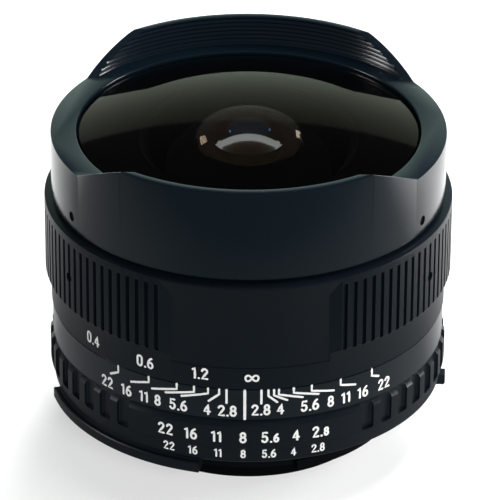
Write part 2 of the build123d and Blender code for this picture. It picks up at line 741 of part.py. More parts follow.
# Second glass: small deep meniscus, the bubble seen through the front glass
with BuildPart() as second_glass:
    face_foot = second_shelf + second_shank
    inner_crown = second_seat + sag(second_hollow_curve, second_hollow_radius)
    face_middle = second_face_radius / 2
    bowl_middle = second_hollow_radius / 2
    with BuildSketch(Plane.XZ):
        with BuildLine():
            Line((0, inner_crown), (0, second_crown))
            ThreePointArc((0, second_crown), (face_middle, second_crown - sag(second_curve, face_middle)),
                          (second_face_radius, face_foot))
            Polyline((second_face_radius, face_foot), (second_face_radius, second_shelf),
                     (second_radius, second_shelf), (second_radius, second_seat),
                     (second_hollow_radius, second_seat))
            ThreePointArc((second_hollow_radius, second_seat),
                          (bowl_middle, inner_crown - sag(second_hollow_curve, bowl_middle)),
                          (0, inner_crown))
        make_face()
    revolve(axis=Axis.Z)
save("second_glass", second_glass)

with BuildPart() as second_ring:
    sleeve(second_face_radius + seat_gap, second_bore + core_wall / 3 - seat_gap, second_shelf, core_top)
save("second_ring", second_ring)

with BuildPart() as third_ring:
    sleeve(third_radius - core_seat, third_radius, third_front, second_seat)
save("third_ring", third_ring)


def cemented_group(name, front, edge, radius, curves):
    """Two glasses that share one curved face, written as one node of two solids."""
    face, join, heel = curves
    middle = front - edge / 2
    with BuildPart() as group:
        glass(front, middle, radius, face, join)
    with BuildPart() as rear_half:
        glass(middle, front - edge, radius, join, heel)
    pair = Compound(children=[group.part.solid(), rear_half.part.solid()])
    pair.label = name
    export_step(pair, f"parts/{name}.step")


cemented_group("third_group", third_front, third_edge, third_radius, third_curves)
cemented_group("fourth_group", fourth_front, fourth_edge, fourth_radius, fourth_curves)
cemented_group("fifth_group", fifth_front, fifth_edge, fifth_radius, fifth_curves)
cemented_group("sixth_group", sixth_front, sixth_edge, sixth_radius, sixth_curves)

with BuildPart() as rear_glass:
    glass(rear_front, rear_back, rear_radius, *rear_curves)
save("rear_glass", rear_glass)

# Rear cell: stepped tube, each bore a seat for one group, loaded from the rear
with BuildPart() as rear_cell:
    filter_bore = filter_radius + filter_wall + 2 * seat_gap
    cell_radius = filter_bore + rear_cell_wall
    turn((fourth_radius - core_seat, cover_bottom), (fourth_radius - core_seat, fourth_front),
         (fourth_radius + seat_gap, fourth_front), (fourth_radius + seat_gap, fifth_front),
         (fifth_radius + seat_gap, fifth_front), (fifth_radius + seat_gap, sixth_front),
         (sixth_radius + seat_gap, sixth_front), (sixth_radius + seat_gap, rear_front),
         (rear_radius + seat_gap, rear_front), (rear_radius + seat_gap, filter_front),
         (filter_bore, filter_front), (filter_bore, cell_back), (cell_radius, cell_back),
         (cell_radius, rear_back), (fifth_radius + rear_cell_wall * 2, rear_front),
         (fifth_radius + rear_cell_wall * 2, cover_bottom - rear_flange),
         (rear_flange_radius, cover_bottom - rear_flange), (rear_flange_radius, cover_bottom))
save("rear_cell", rear_cell)

with BuildPart() as rear_ring:
    sleeve(rear_radius - core_seat, rear_radius, rear_ring_back, rear_back)
save("rear_ring", rear_ring)

# Screw-in rear filter: metal ring and flat glass
with BuildPart() as filter_ring:
    turn((filter_radius - filter_wall, cell_back), (filter_bore - seat_gap, cell_back),
         (filter_bore - seat_gap, filter_front), (filter_radius + seat_gap, filter_front),
         (filter_radius + seat_gap, filter_front - filter_thickness),
         (filter_radius - filter_wall, filter_front - filter_thickness))
save("filter_ring", filter_ring)

with BuildPart() as filter_glass:
    with BuildSketch(Plane.XY.offset(filter_front - filter_thickness)):
        Circle(filter_radius)
    extrude(amount=filter_thickness)
save("filter_glass", filter_glass)

# Iris: how far each blade is turned about its pivot at a hole of a given radius


def blade_turn(hole):
    """Turn of a blade that leaves a round hole of this radius."""
    return 2 * degrees(asin((blade_hole - hole) / (2 * pivot_radius)))


open_turn = blade_turn(open_hole)
blade_travel = blade_turn(closed_hole) - open_turn
blade_ratio = blade_travel / (2 * stop_turn)
rest_turn = open_turn + blade_travel / 2
cam_arm = 2 * pivot_radius * sin(radians(cam_pin_angle / 2))
cam_arm_angle = 90 + cam_pin_angle / 2


def cam_pin_place(ring_turn):
    """Place of a cam pin as the turning cam ring sees it, for the blade whose pivot lies on +X."""
    swing = radians(cam_arm_angle + rest_turn + blade_ratio * ring_turn)
    x = pivot_radius + cam_arm * cos(swing)
    y = cam_arm * sin(swing)
    place_angle = degrees(atan2(y, x)) - ring_turn
    return hypot(x, y), place_angle


# Iris housing: plate with six pivot holes, and a wall with a slot for the lever
with BuildPart() as iris_housing:
    turn((iris_plate_hole, plate_bottom), (iris_wall_bore, plate_bottom), (iris_wall_bore, cover_bottom),
         (iris_radius, cover_bottom), (iris_radius, core_bottom), (iris_plate_hole, core_bottom))
    with Locations(Plane.XY.offset(core_bottom)):
        with PolarLocations(pivot_radius, blade_count):
            Hole(pin_radius + run_gap, depth=iris_plate)
    slot_half_angle = stop_turn + degrees(atan(lever_width / 2 / iris_radius)) + stop_spare_angle
    sector(iris_wall_bore - overrun, iris_radius + overrun, cover_bottom - overrun, cam_top + free_gap / 2,
           fork_azimuth - slot_half_angle, fork_azimuth + slot_half_angle, mode=Mode.SUBTRACT)
save("iris_housing", iris_housing)

with BuildPart() as iris_cover:
    sleeve(cam_ring_hole, cam_ring_radius, cover_bottom, cover_top)
save("iris_cover", iris_cover)

# Cam ring with six curved slots, and the stop-down lever that reaches the mount
with BuildPart() as cam_ring:
    sleeve(cam_ring_hole, cam_ring_radius, cam_bottom, cam_top)
    with BuildSketch(Plane.XY.offset(cam_bottom)):
        for blade in range(blade_count):
            first_angle = blade * 360 / blade_count
            trail = []
            for step in range(9):
                reach, bearing = cam_pin_place((step / 4 - 1) * (stop_turn + stop_spare_angle))
                bearing = radians(bearing + first_angle)
                trail.append((reach * cos(bearing), reach * sin(bearing)))
            with BuildLine(mode=Mode.PRIVATE) as path:
                Spline(*trail)
            trace(path.edges(), 2 * (pin_radius + run_gap))
            with Locations(trail[0], trail[-1]):
                Circle(pin_radius + run_gap)
    extrude(amount=cam_ring_height, mode=Mode.SUBTRACT)
    with BuildSketch(Plane.XY.offset(cam_bottom)):
        with Locations((0, (cam_ring_radius - lever_wall + lever_outer) / 2)):
            Rectangle(lever_width, lever_outer - cam_ring_radius + lever_wall)
    extrude(amount=cam_ring_height)
    with BuildSketch(Plane.XY.offset(lever_back)):
        with Locations((0, (lever_inner + lever_outer) / 2)):
            Rectangle(lever_width, lever_wall)
    extrude(amount=cam_top - lever_back)
save("cam_ring", cam_ring)

# Six crescent blades, one above the other, each with a pivot pin and a cam pin
for blade in range(blade_count):
    pivot_angle = radians(blade * 360 / blade_count)
    lie = pivot_angle + radians(rest_turn)
    centre_x = pivot_radius * (cos(pivot_angle) - cos(lie))
    centre_y = pivot_radius * (sin(pivot_angle) - sin(lie))
    blade_top = plate_bottom - seam_gap / 2 - blade * blade_pitch
    blade_bottom = blade_top - blade_thickness

    def blade_plane(height):
        """Plane at a height, centred on the arc of the blade, its X axis through the pivot."""
        return Plane((centre_x, centre_y, height), x_dir=(cos(lie), sin(lie), 0), z_dir=(0, 0, 1))

    with BuildPart() as iris_blade:
        for inner, outer, start, end in (
                (blade_hole, blade_hole + blade_width, -ear_back_angle, blade_sweep_angle),
                (blade_hole + blade_width / 2, pivot_radius + ear_width, -ear_back_angle, ear_sweep_angle)):
            with BuildSketch(blade_plane(blade_bottom)):
                with BuildLine():
                    CenterArc((0, 0), inner, start, end - start)
                    CenterArc((0, 0), outer, start, end - start)
                    for side in (radians(start), radians(end)):
                        Line((inner * cos(side), inner * sin(side)), (outer * cos(side), outer * sin(side)))
                make_face()
            extrude(amount=blade_thickness)
        with BuildSketch(blade_plane(blade_bottom)):
            with Locations((pivot_radius, 0)):
                Circle(pin_radius)
        extrude(amount=core_bottom - free_gap - blade_bottom)
        with BuildSketch(blade_plane(cam_bottom + seam_gap)):
            with PolarLocations(pivot_radius, 1, start_angle=cam_pin_angle):
                Circle(pin_radius)
        extrude(amount=blade_top - cam_bottom - seam_gap)
    save(f"iris_blade_{blade + 1}", iris_blade)
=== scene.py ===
# %% [markdown]
# # A fisheye lens with a two-petal hood
# The CAD model gives every piece its size, place and motion. This lesson dresses it: round pieces
# are spun again with fine steps, the scales are laid on as lines, and each surface gets a finish.
# Lengths in the tables below are millimetres, and MM turns them into Blender's metres.

from math import cos, degrees, dist, pi, radians, sin, sqrt, tan

import bpy
from mathutils import Matrix, Vector


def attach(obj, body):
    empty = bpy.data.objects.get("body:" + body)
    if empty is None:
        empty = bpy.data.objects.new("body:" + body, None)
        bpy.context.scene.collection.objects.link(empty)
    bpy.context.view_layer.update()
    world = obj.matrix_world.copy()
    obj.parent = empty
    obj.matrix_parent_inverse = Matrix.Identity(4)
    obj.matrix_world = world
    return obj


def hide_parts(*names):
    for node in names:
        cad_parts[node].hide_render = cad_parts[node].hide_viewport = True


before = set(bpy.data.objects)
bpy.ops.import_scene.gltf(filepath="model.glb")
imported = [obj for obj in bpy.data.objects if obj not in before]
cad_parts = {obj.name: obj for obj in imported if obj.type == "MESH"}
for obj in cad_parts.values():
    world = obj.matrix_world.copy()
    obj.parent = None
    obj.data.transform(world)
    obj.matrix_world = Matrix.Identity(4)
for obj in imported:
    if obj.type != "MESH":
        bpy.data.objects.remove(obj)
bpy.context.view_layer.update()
MM = 0.001


def deselect():
    """Leave edit mode and select nothing, so that the next operator acts on its own piece."""
    if bpy.context.mode != "OBJECT":
        bpy.ops.object.mode_set(mode="OBJECT")
    bpy.ops.object.select_all(action="DESELECT")


def choose(piece):
    """Select one piece alone and make it the active one."""
    deselect()
    piece.select_set(True)
    bpy.context.view_layer.objects.active = piece


def settle():
    """Apply the move, turn and scale of the selected pieces to their meshes."""
    bpy.ops.object.transform_apply(location=True, rotation=True, scale=True)


deselect()

# %% [markdown]
# ## Camera
# The camera stands where the round edges of the photograph put it: 0.7 m away, looking down at the
# front of the lens, with a long focal length. It is turned a little to the right of the index line
# and rolled by a third of a degree.

# %% Camera
CAMERA_PLACE = (7.23, -610.61, 357.5)
CAMERA_PITCH = 28.81
CAMERA_YAW = 0.65
CAMERA_ROLL = 0.34
FOCAL = 322.6


def add_camera():
    """Add the camera, and aim it with one matrix so that the roll is about its own axis."""
    bpy.ops.object.camera_add()
    camera = bpy.context.object
    camera.name = "photo_camera"
    camera.data.lens = FOCAL
    camera.data.sensor_width = 36.0
    camera.data.sensor_fit = "HORIZONTAL"
    camera.data.clip_end = 10.0
    aim = Matrix.Rotation(radians(CAMERA_YAW), 4, "Z")
    aim = aim @ Matrix.Rotation(radians(90 - CAMERA_PITCH), 4, "X")
    aim = aim @ Matrix.Rotation(radians(CAMERA_ROLL), 4, "Z")
    camera.matrix_world = Matrix.Translation(Vector(CAMERA_PLACE) * MM) @ aim
    bpy.context.scene.camera = camera
    return camera


camera = add_camera()
print("camera at", tuple(round(v, 4) for v in camera.location))

# %% [markdown]
# ## Shader maths
# A finish is a small formula. Wrapping a socket in a class with the usual operators lets a formula be
# written as Python, and each operator adds its Math node.


# %% Shader maths
class Value:
    """A number that changes over a surface, held as the output socket of a node."""

    def __init__(self, finish, socket):
        self.finish = finish
        self.socket = socket

    def _join(self, operation, first, second):
        return self.finish.node("ShaderNodeMath", {"operation": operation}, {0: first, 1: second})

    def __add__(self, other):
        return self._join("ADD", self, other)

    __radd__ = __add__

    def __mul__(self, other):
        return self._join("MULTIPLY", self, other)

    def __sub__(self, other):
        return self._join("SUBTRACT", self, other)


class Finish:
    """A material being made: one Principled shader, and the nodes that feed it."""

    def __init__(self, name):
        self.material = bpy.data.materials.new(name)
        self.material.use_nodes = True
        self.tree = self.material.node_tree
        self.shader = self.tree.nodes["Principled BSDF"]
        self.output = self.tree.nodes["Material Output"]

    def node(self, kind, settings=None, inputs=None, out=0):
        """Add a node, give it its settings and its inputs, and hand back one of its outputs."""
        made = self.tree.nodes.new(kind)
        for key, value in (settings or {}).items():
            setattr(made, key, value)
        for key, value in (inputs or {}).items():
            self.feed(made.inputs[key], value)
        return Value(self, made.outputs[out])

    def feed(self, socket, value):
        """Set a socket to a number or colour, or link it to a Value."""
        if isinstance(value, Value):
            self.tree.links.new(value.socket, socket)
        elif isinstance(value, tuple) and len(value) == 3 and socket.type == "RGBA":
            socket.default_value = (*value, 1.0)
        else:
            socket.default_value = value

    def shade(self, **sockets):
        """Feed the Principled shader. Underscores in the names stand for spaces."""
        for key, value in sockets.items():
            self.feed(self.shader.inputs[key.replace("_", " ")], value)
        return self.material

    def place(self):
        """The object coordinates, in metres."""
        return self.node("ShaderNodeTexCoord", out="Object")

    def noise(self, scale, detail, stretch=(1, 1, 1)):
        """Noise in object space, stretched by a Mapping node. Scale is in bumps per metre."""
        mapped = self.node("ShaderNodeMapping", inputs={"Vector": self.place(), "Scale": stretch})
        return self.node("ShaderNodeTexNoise",
                         inputs={"Vector": mapped, "Scale": scale, "Detail": detail})

    def axes(self):
        """The three object coordinates as three Values."""
        split = self.tree.nodes.new("ShaderNodeSeparateXYZ")
        self.feed(split.inputs[0], self.place())
        return [Value(self, split.outputs[i]) for i in range(3)]

    def radius(self):
        """Distance from the optical axis, in metres."""
        x, y, _ = self.axes()
        return self.node("ShaderNodeMath", {"operation": "SQRT"}, {0: x * x + y * y})

    def blend(self, factor, low, high):
        """Mix two colours."""
        return self.node("ShaderNodeMix", {"data_type": "RGBA"},
                         {"Factor": factor, 6: low, 7: high}, out=2)

    def bump(self, height, distance):
        """Turn a height into a normal."""
        return self.node("ShaderNodeBump", inputs={"Height": height, "Distance": distance})


# %% [markdown]
# ## Finishes
# The outside is black anodised aluminium. Blasting before the dye leaves a fine grain, and turning
# leaves faint rings, so the roughness changes with the height on the ring. The hood and the depth
# scale are glossier than the two rings that the fingers turn. Inside, flat black paint swallows stray
# light. The mount is black too, as in the photo, and the glass has a thin coating that tints what it
# reflects.


# %% Metal finishes
def anodised(name, colour, roughness, grain, gloss):
    """Black anodised aluminium with a blasted grain and faint turning rings."""
    finish = Finish(name)
    speckle = finish.noise(9000.0, 2.0)
    rings = finish.noise(600.0, 2.0, stretch=(0.02, 0.02, 9.0))
    cloud = finish.noise(120.0, 3.0)
    lighter = tuple(c * 1.35 for c in colour)
    tint = finish.blend(speckle * 0.6 + cloud * 0.4, colour, lighter)
    rough = roughness - 0.05 + rings * 0.06 + cloud * 0.05
    normal = finish.bump(speckle + rings * 0.5, grain * MM)
    return finish.shade(Base_Color=tint, Roughness=rough, Normal=normal, IOR=1.5,
                        Coat_Weight=gloss, Coat_Roughness=roughness - 0.05)


def flat_black(name):
    """Matt black paint on inner walls."""
    finish = Finish(name)
    speckle = finish.noise(7000.0, 3.0)
    tint = finish.blend(speckle, (0.0008, 0.0012, 0.0014), (0.002, 0.0026, 0.003))
    return finish.shade(Base_Color=tint, Roughness=0.7 + speckle * 0.15, Specular_IOR_Level=0.12,
                        Normal=finish.bump(speckle, 0.02 * MM))


def bright_metal(name, colour, roughness):
    """Turned metal: fine rings round the axis in roughness and in height."""
    finish = Finish(name)
    wide = finish.radius() * 2600.0
    rings = finish.node("ShaderNodeTexNoise", {"noise_dimensions": "1D"},
                        {"W": wide, "Scale": 3.0, "Detail": 4.0})
    smear = finish.noise(250.0, 3.0)
    worn = finish.blend(smear, tuple(c * 0.86 for c in colour), colour)
    rough = roughness - 0.04 + rings * 0.08 + smear * 0.05
    return finish.shade(Base_Color=worn, Metallic=1.0, Roughness=rough,
                        Normal=finish.bump(rings, 0.01 * MM))


satin_black = anodised("satin_black", (0.0018, 0.0042, 0.0066), 0.20, 0.0025, 0.6)
grip_black = anodised("grip_black", (0.0024, 0.0042, 0.0062), 0.36, 0.004, 0.0)
inner_black = flat_black("inner_black")
mount_black = bright_metal("mount_black", (0.03, 0.032, 0.036), 0.24)
steel = bright_metal("plain_steel", (0.42, 0.42, 0.43), 0.32)
brass = bright_metal("turned_brass", (0.60, 0.44, 0.18), 0.3)
dark_steel = bright_metal("black_oxide_steel", (0.06, 0.06, 0.066), 0.36)


# %% Glass and paint
def coated_glass(name, film):
    """Clear glass. The film thickness, in nanometres, sets the tint of the reflection."""
    finish = Finish(name)
    dust = finish.noise(900.0, 4.0)
    rough = (dust - 0.62) * 0.008
    rough = finish.node("ShaderNodeMath", {"operation": "MAXIMUM"}, {0: rough, 1: 0.0})
    return finish.shade(Base_Color=(1.0, 1.0, 1.0), Roughness=rough, IOR=1.6, Transmission_Weight=1.0,
                        Thin_Film_Thickness=film, Thin_Film_IOR=1.38)


def engraved_paint(name, colour):
    """White filling paint in engraved lines."""
    finish = Finish(name)
    flow = finish.noise(2500.0, 3.0)
    shade = finish.blend(flow, tuple(c * 0.9 for c in colour), colour)
    return finish.shade(Base_Color=shade, Roughness=0.45 + flow * 0.1,
                        Normal=finish.bump(flow, 0.01 * MM))


front_coating = coated_glass("front_coating", 105.0)
inner_coating = coated_glass("inner_coating", 140.0)
amber_coating = coated_glass("amber_coating", 210.0)
white_paint = engraved_paint("white_paint", (0.84, 0.84, 0.82))
print("finishes", len(bpy.data.materials))


# %% [markdown]
# ## Turning a piece
# Nearly every piece of a lens is turned on a lathe. In Blender that is one outline spun round the
# axis: a plane is merged to a point, the point is extruded along the outline, and the chain is spun.


# %% Turning helpers
STEPS = 180


def outline_chain(name, outline, closed):
    """Draw an outline of (radius, height) points as a chain of edges in the XZ plane."""
    deselect()
    start = Vector((outline[0][0], 0, outline[0][1])) * MM
    bpy.ops.mesh.primitive_plane_add(size=MM, location=start)
    piece = bpy.context.object
    piece.name = name
    piece.data.name = name
    settle()
    bpy.ops.object.mode_set(mode="EDIT")
    bpy.ops.mesh.select_mode(type="VERT")
    bpy.ops.mesh.select_all(action="SELECT")
    bpy.ops.mesh.merge(type="CENTER")
    for here, after in zip(outline, outline[1:]):
        step = Vector((after[0] - here[0], 0, after[1] - here[1])) * MM
        bpy.ops.mesh.extrude_region_move(TRANSFORM_OT_translate={"value": step})
    if closed:
        bpy.ops.object.mode_set(mode="OBJECT")
        piece.data.vertices[0].select = True
        piece.data.vertices[len(outline) - 1].select = True
        bpy.ops.object.mode_set(mode="EDIT")
        bpy.ops.mesh.edge_face_add()
    return piece


def turned(name, outline, steps=STEPS, smooth=30.0, closed=True, turn=360.0, start=0.0):
    """Spin an outline round the optical axis, and close its seam."""
    piece = outline_chain(name, outline, closed)
    bpy.ops.mesh.select_all(action="SELECT")
    bpy.ops.mesh.spin(steps=steps, angle=radians(-turn), center=(0, 0, 0), axis=(0, 0, 1))
    bpy.ops.mesh.select_all(action="SELECT")
    bpy.ops.mesh.remove_doubles(threshold=0.002 * MM)
    if turn < 360.0:
        bpy.ops.mesh.fill_holes(sides=0)
        bpy.ops.mesh.select_all(action="SELECT")
    bpy.ops.mesh.normals_make_consistent(inside=False)
    choose(piece)
    if start:
        piece.rotation_euler.z = radians(start)
        settle()
    bpy.ops.object.shade_smooth_by_angle(angle=radians(smooth))
    return piece


def dress(piece, body, finish, slot, *nodes):
    """Give a finished piece its finish and its body, and say which CAD nodes it replaces. The slot is not
    used.
    """
    piece.data.materials.clear()
    piece.data.materials.append(finish)
    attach(piece, body)
    if nodes:
        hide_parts(*nodes)
    return piece


def apply_modifiers(piece):
    """Apply every modifier of a piece in turn."""
    choose(piece)
    for modifier in list(piece.modifiers):
        bpy.ops.object.modifier_apply(modifier=modifier.name)


def join(name, pieces):
    """Join pieces into the first one."""
    deselect()
    for piece in pieces:
        piece.select_set(True)
    bpy.context.view_layer.objects.active = pieces[0]
    bpy.ops.object.join()
    pieces[0].name = name
    return pieces[0]


def cut(piece, cutter):
    """Cut one piece with another, and throw the cutter away."""
    boolean = piece.modifiers.new("cut", "BOOLEAN")
    boolean.operation = "DIFFERENCE"
    boolean.solver = "EXACT"
    boolean.object = cutter
    apply_modifiers(piece)
    bpy.data.objects.remove(cutter, do_unlink=True)
    return piece


def place_at(azimuth, radius, height):
    """A point at an azimuth counted from -Y towards +X, in metres."""
    return Vector((radius * sin(radians(azimuth)), -radius * cos(radians(azimuth)), height)) * MM


def spin_copies(piece, azimuths):
    """Copy a piece that was made at azimuth 0 to every azimuth, and join the copies."""
    copies = []
    for azimuth in azimuths:
        choose(piece)
        bpy.ops.object.duplicate()
        copy = bpy.context.object
        copy.rotation_euler.z = radians(azimuth)
        settle()
        copies.append(copy)
    bpy.data.objects.remove(piece, do_unlink=True)
    return join(copies[0].name, copies) if len(copies) > 1 else copies[0]


def resmooth(piece, angle):
    """Smooth the faces that meet at less than an angle."""
    choose(piece)
    bpy.ops.object.shade_smooth_by_angle(angle=radians(angle))
    return piece


def box(size, place):
    """A block to cut with, from its size and the place of its centre in millimetres."""
    deselect()
    bpy.ops.mesh.primitive_cube_add(size=1)
    block = bpy.context.object
    block.scale = [length * MM for length in size]
    block.location = [length * MM for length in place]
    settle()
    return block


def unpick():
    """Select nothing in the active mesh, so that its parts can be picked by hand."""
    bpy.ops.object.mode_set(mode="EDIT")
    bpy.ops.mesh.select_all(action="DESELECT")
    bpy.ops.object.mode_set(mode="OBJECT")


def pick_edges(piece, wanted):
    """Select the edges whose two ends pass a test."""
    vertices = piece.data.vertices
    for edge in piece.data.edges:
        edge.select = wanted(*[vertices[i].co for i in edge.vertices])


def bevel_picked(width, segments):
    """Bevel the picked edges."""
    bpy.ops.object.mode_set(mode="EDIT")
    bpy.ops.mesh.bevel(offset=width * MM, segments=segments, affect="EDGES")
    bpy.ops.object.mode_set(mode="OBJECT")


# %% [markdown]
# ## Hood
# The hood is a short tube with a flat shoulder. Two petals stand on the shoulder, above and below the
# picture, so that they shade the dome without showing at the sides. Inside, each petal has six fine
# ribs that break up stray light. The hood is turned whole, and the gap between the petals is then cut
# through it with one tapered block.

# %% Hood
HOOD_RADIUS = 30.4
HOOD_BORE = 29.2
HOOD_BOTTOM = 33.05
SHOULDER = 43.05
SHOULDER_DEPTH = 1.2
PETAL_TOP = 47.85
PETAL_BORE = 29.1
PETAL_FOOT = 16.4
PETAL_SLOPE = 32.0
SHOULDER_BORE = 26.41
PETAL_BAND = 0.3
RIB_COUNT = 6
RIB_LAND = 0.2
RIB_DEPTH = 0.24
RIB_UNDERCUT = 0.12
RIB_EASE = 0.03


def hood_outline():
    """Outline of the hood, outside first and then down the ribbed inner wall."""
    rib_top = PETAL_TOP - PETAL_BAND
    pitch = (PETAL_TOP - SHOULDER - 2 * PETAL_BAND) / RIB_COUNT
    groove = PETAL_BORE + RIB_DEPTH
    points = [(HOOD_BORE, HOOD_BOTTOM), (HOOD_RADIUS - 0.2, HOOD_BOTTOM),
              (HOOD_RADIUS - 0.06, HOOD_BOTTOM + 0.06), (HOOD_RADIUS, HOOD_BOTTOM + 0.2),
              (HOOD_RADIUS, PETAL_TOP - 0.22), (HOOD_RADIUS - 0.07, PETAL_TOP - 0.07),
              (HOOD_RADIUS - 0.22, PETAL_TOP), (PETAL_BORE + 0.12, PETAL_TOP),
              (PETAL_BORE, PETAL_TOP - 0.12), (PETAL_BORE, rib_top)]
    for step in range(RIB_COUNT):
        foot = rib_top - (step + 1) * pitch
        points += [(groove, foot + pitch - RIB_UNDERCUT), (groove - RIB_EASE, foot + pitch - RIB_LAND),
                   (PETAL_BORE + RIB_EASE, foot + RIB_LAND + 0.02), (PETAL_BORE, foot + RIB_LAND - 0.02),
                   (PETAL_BORE, foot)]
    points += [(PETAL_BORE, SHOULDER + 0.2), (PETAL_BORE - 0.12, SHOULDER + 0.05),
               (PETAL_BORE - 0.2, SHOULDER), (SHOULDER_BORE + 0.15, SHOULDER),
               (SHOULDER_BORE, SHOULDER - 0.15), (SHOULDER_BORE, SHOULDER - SHOULDER_DEPTH),
               (HOOD_BORE, SHOULDER - SHOULDER_DEPTH)]
    return points


def petal_gap():
    """The tapered block that clears the space between the petals."""
    rise = PETAL_TOP - SHOULDER + 2
    block = box((80, 2 * PETAL_FOOT, rise), (0, 0, SHOULDER + rise / 2))
    wider = (PETAL_FOOT + rise / tan(radians(PETAL_SLOPE))) / PETAL_FOOT
    unpick()
    for face in block.data.polygons:
        face.select = face.normal.z > 0.5
    bpy.ops.object.mode_set(mode="EDIT")
    bpy.ops.transform.resize(value=(1, wider, 1))
    bpy.ops.object.mode_set(mode="OBJECT")
    return block


hood = turned("petal_hood", hood_outline(), steps=288)
cut(hood, petal_gap())


def ease_edges(piece, width):
    """Bevel every edge of a piece, so that no corner is sharp."""
    choose(piece)
    bpy.ops.object.mode_set(mode="EDIT")
    bpy.ops.mesh.select_all(action="SELECT")
    bevel_picked(width, 2)


ease_edges(hood, 0.14)
resmooth(hood, 24)

GRUB_AZIMUTHS = (-60.8, 60.8, 180.0)
GRUB_HOLE = 0.78


def screw_holes(piece, azimuths, radius, outer, height, depth):
    """Drill round holes into a wall from outside."""
    deselect()
    bpy.ops.mesh.primitive_cylinder_add(vertices=24, radius=radius * MM, depth=2 * depth * MM,
                                        location=(0, -outer * MM, height * MM),
                                        rotation=(radians(90), 0, 0))
    drill = bpy.context.object
    settle()
    return cut(piece, spin_copies(drill, azimuths))


screw_holes(hood, GRUB_AZIMUTHS, GRUB_HOLE, HOOD_RADIUS, 35.25, 2.0)
resmooth(hood, 24)
dress(hood, "optics", satin_black, "black_anodised", "hood")
print("hood faces", len(hood.data.polygons))

# %% [markdown]
# ## Focus ring
# One ring carries the grip and the distance scale. The ring is turned, a flat-bottomed panel is sunk
# into the front of the grip, and 101 grooves are milled round the rest.

# %% Focus ring
SKIRT_RADIUS = 30.6
SKIRT_BORE = 27.35
GRIP_RADIUS = 31.5
GRIP_BORE = 29.13
BORE_STEP = 19.4
FOCUS_BOTTOM = 14.45
GRIP_BOTTOM = 19.7
FOCUS_TOP = 32.45
PANEL_AZIMUTH = 1.65
PANEL_HALF = 22.6
PANEL_SIDE = 2.9
PANEL_FLOOR = 30.5
PANEL_LOW = GRIP_BOTTOM - 1.6
PANEL_HIGH = FOCUS_TOP - 3.15
PANEL_RISE = 2.7
GROOVES = 101
GROOVE_WIDTH = 0.68
GROOVE_DEPTH = 0.75
GROOVE_TOP = FOCUS_TOP - 1.2
GROOVE_BOTTOM = GRIP_BOTTOM + 0.1

focus_outline = [(SKIRT_BORE, FOCUS_BOTTOM), (SKIRT_RADIUS - 0.15, FOCUS_BOTTOM),
                 (SKIRT_RADIUS, FOCUS_BOTTOM + 0.15), (SKIRT_RADIUS, GRIP_BOTTOM - 0.55),
                 (SKIRT_RADIUS + 0.1, GRIP_BOTTOM - 0.25), (GRIP_RADIUS - 0.12, GRIP_BOTTOM + 0.25),
                 (GRIP_RADIUS, GRIP_BOTTOM + 0.5), (GRIP_RADIUS, FOCUS_TOP - 0.2),
                 (GRIP_RADIUS - 0.06, FOCUS_TOP - 0.06), (GRIP_RADIUS - 0.2, FOCUS_TOP),
                 (GRIP_BORE, FOCUS_TOP), (GRIP_BORE, BORE_STEP), (SKIRT_BORE, BORE_STEP)]
focus_ring = turned("focus_ring_dressed", focus_outline, steps=288)


def panel_block():
    """The block that sinks the panel: a sector with slanting sides and a slanting top."""
    steps = 36
    outer = GRIP_RADIUS + 1
    slant = PANEL_RISE / (GRIP_RADIUS - PANEL_FLOOR)
    spread = PANEL_SIDE / (GRIP_RADIUS - PANEL_FLOOR)
    section = [(PANEL_FLOOR, PANEL_LOW), (outer, PANEL_LOW),
               (outer, PANEL_HIGH + slant * (outer - PANEL_FLOOR)), (PANEL_FLOOR, PANEL_HIGH)]
    corners, faces = [], []
    for i in range(steps + 1):
        side = 2 * i / steps - 1
        for radius, height in section:
            reach = PANEL_HALF + spread * (radius - PANEL_FLOOR)
            corners.append(place_at(PANEL_AZIMUTH + side * reach, radius, height))
    for i in range(steps):
        for j in range(4):
            k = (j + 1) % 4
            faces.append((4 * i + j, 4 * i + k, 4 * i + 4 + k, 4 * i + 4 + j))
    faces += [(3, 2, 1, 0), tuple(4 * steps + j for j in range(4))]
    mesh = bpy.data.meshes.new("panel_block")
    mesh.from_pydata(corners, [], faces)
    block = bpy.data.objects.new("panel_block", mesh)
    bpy.context.collection.objects.link(block)
    choose(block)
    bpy.ops.object.mode_set(mode="EDIT")
    bpy.ops.mesh.select_all(action="SELECT")
    bpy.ops.mesh.normals_make_consistent(inside=False)
    bpy.ops.object.mode_set(mode="OBJECT")
    return block


cut(focus_ring, panel_block())


def groove_block():
    """One long cutter with rounded corners for a groove of the grip."""
    block = box((GROOVE_WIDTH, 2 * GROOVE_DEPTH, GROOVE_TOP - GROOVE_BOTTOM),
                (0, -GRIP_RADIUS, (GROOVE_TOP + GROOVE_BOTTOM) / 2))
    unpick()
    pick_edges(block, lambda a, b: min(a.y, b.y) > -GRIP_RADIUS * MM)
    bevel_picked(0.18, 3)
    return block


groove_edge = PANEL_HALF + PANEL_SIDE + degrees(GROOVE_WIDTH / GRIP_RADIUS)
groove_pitch = (360 - 2 * groove_edge) / (GROOVES - 1)
grooves = [PANEL_AZIMUTH + groove_edge + i * groove_pitch for i in range(GROOVES)]
cut(focus_ring, spin_copies(groove_block(), grooves))
screw_holes(focus_ring, [PANEL_AZIMUTH + a for a in GRUB_AZIMUTHS], GRUB_HOLE, GRIP_RADIUS, 25.4, 2.6)
resmooth(focus_ring, 24)
dress(focus_ring, "focus", grip_black, "black_anodised", "focus_ring")
print("focus ring faces", len(focus_ring.data.polygons))

# %% [markdown]
# ## Depth scale ring and aperture ring
# The fixed ring under the grip carries the depth-of-field lines. The ring below it turns with clicks,
# has slots for the fingers round the back, and carries the ridge that couples it to a camera body.

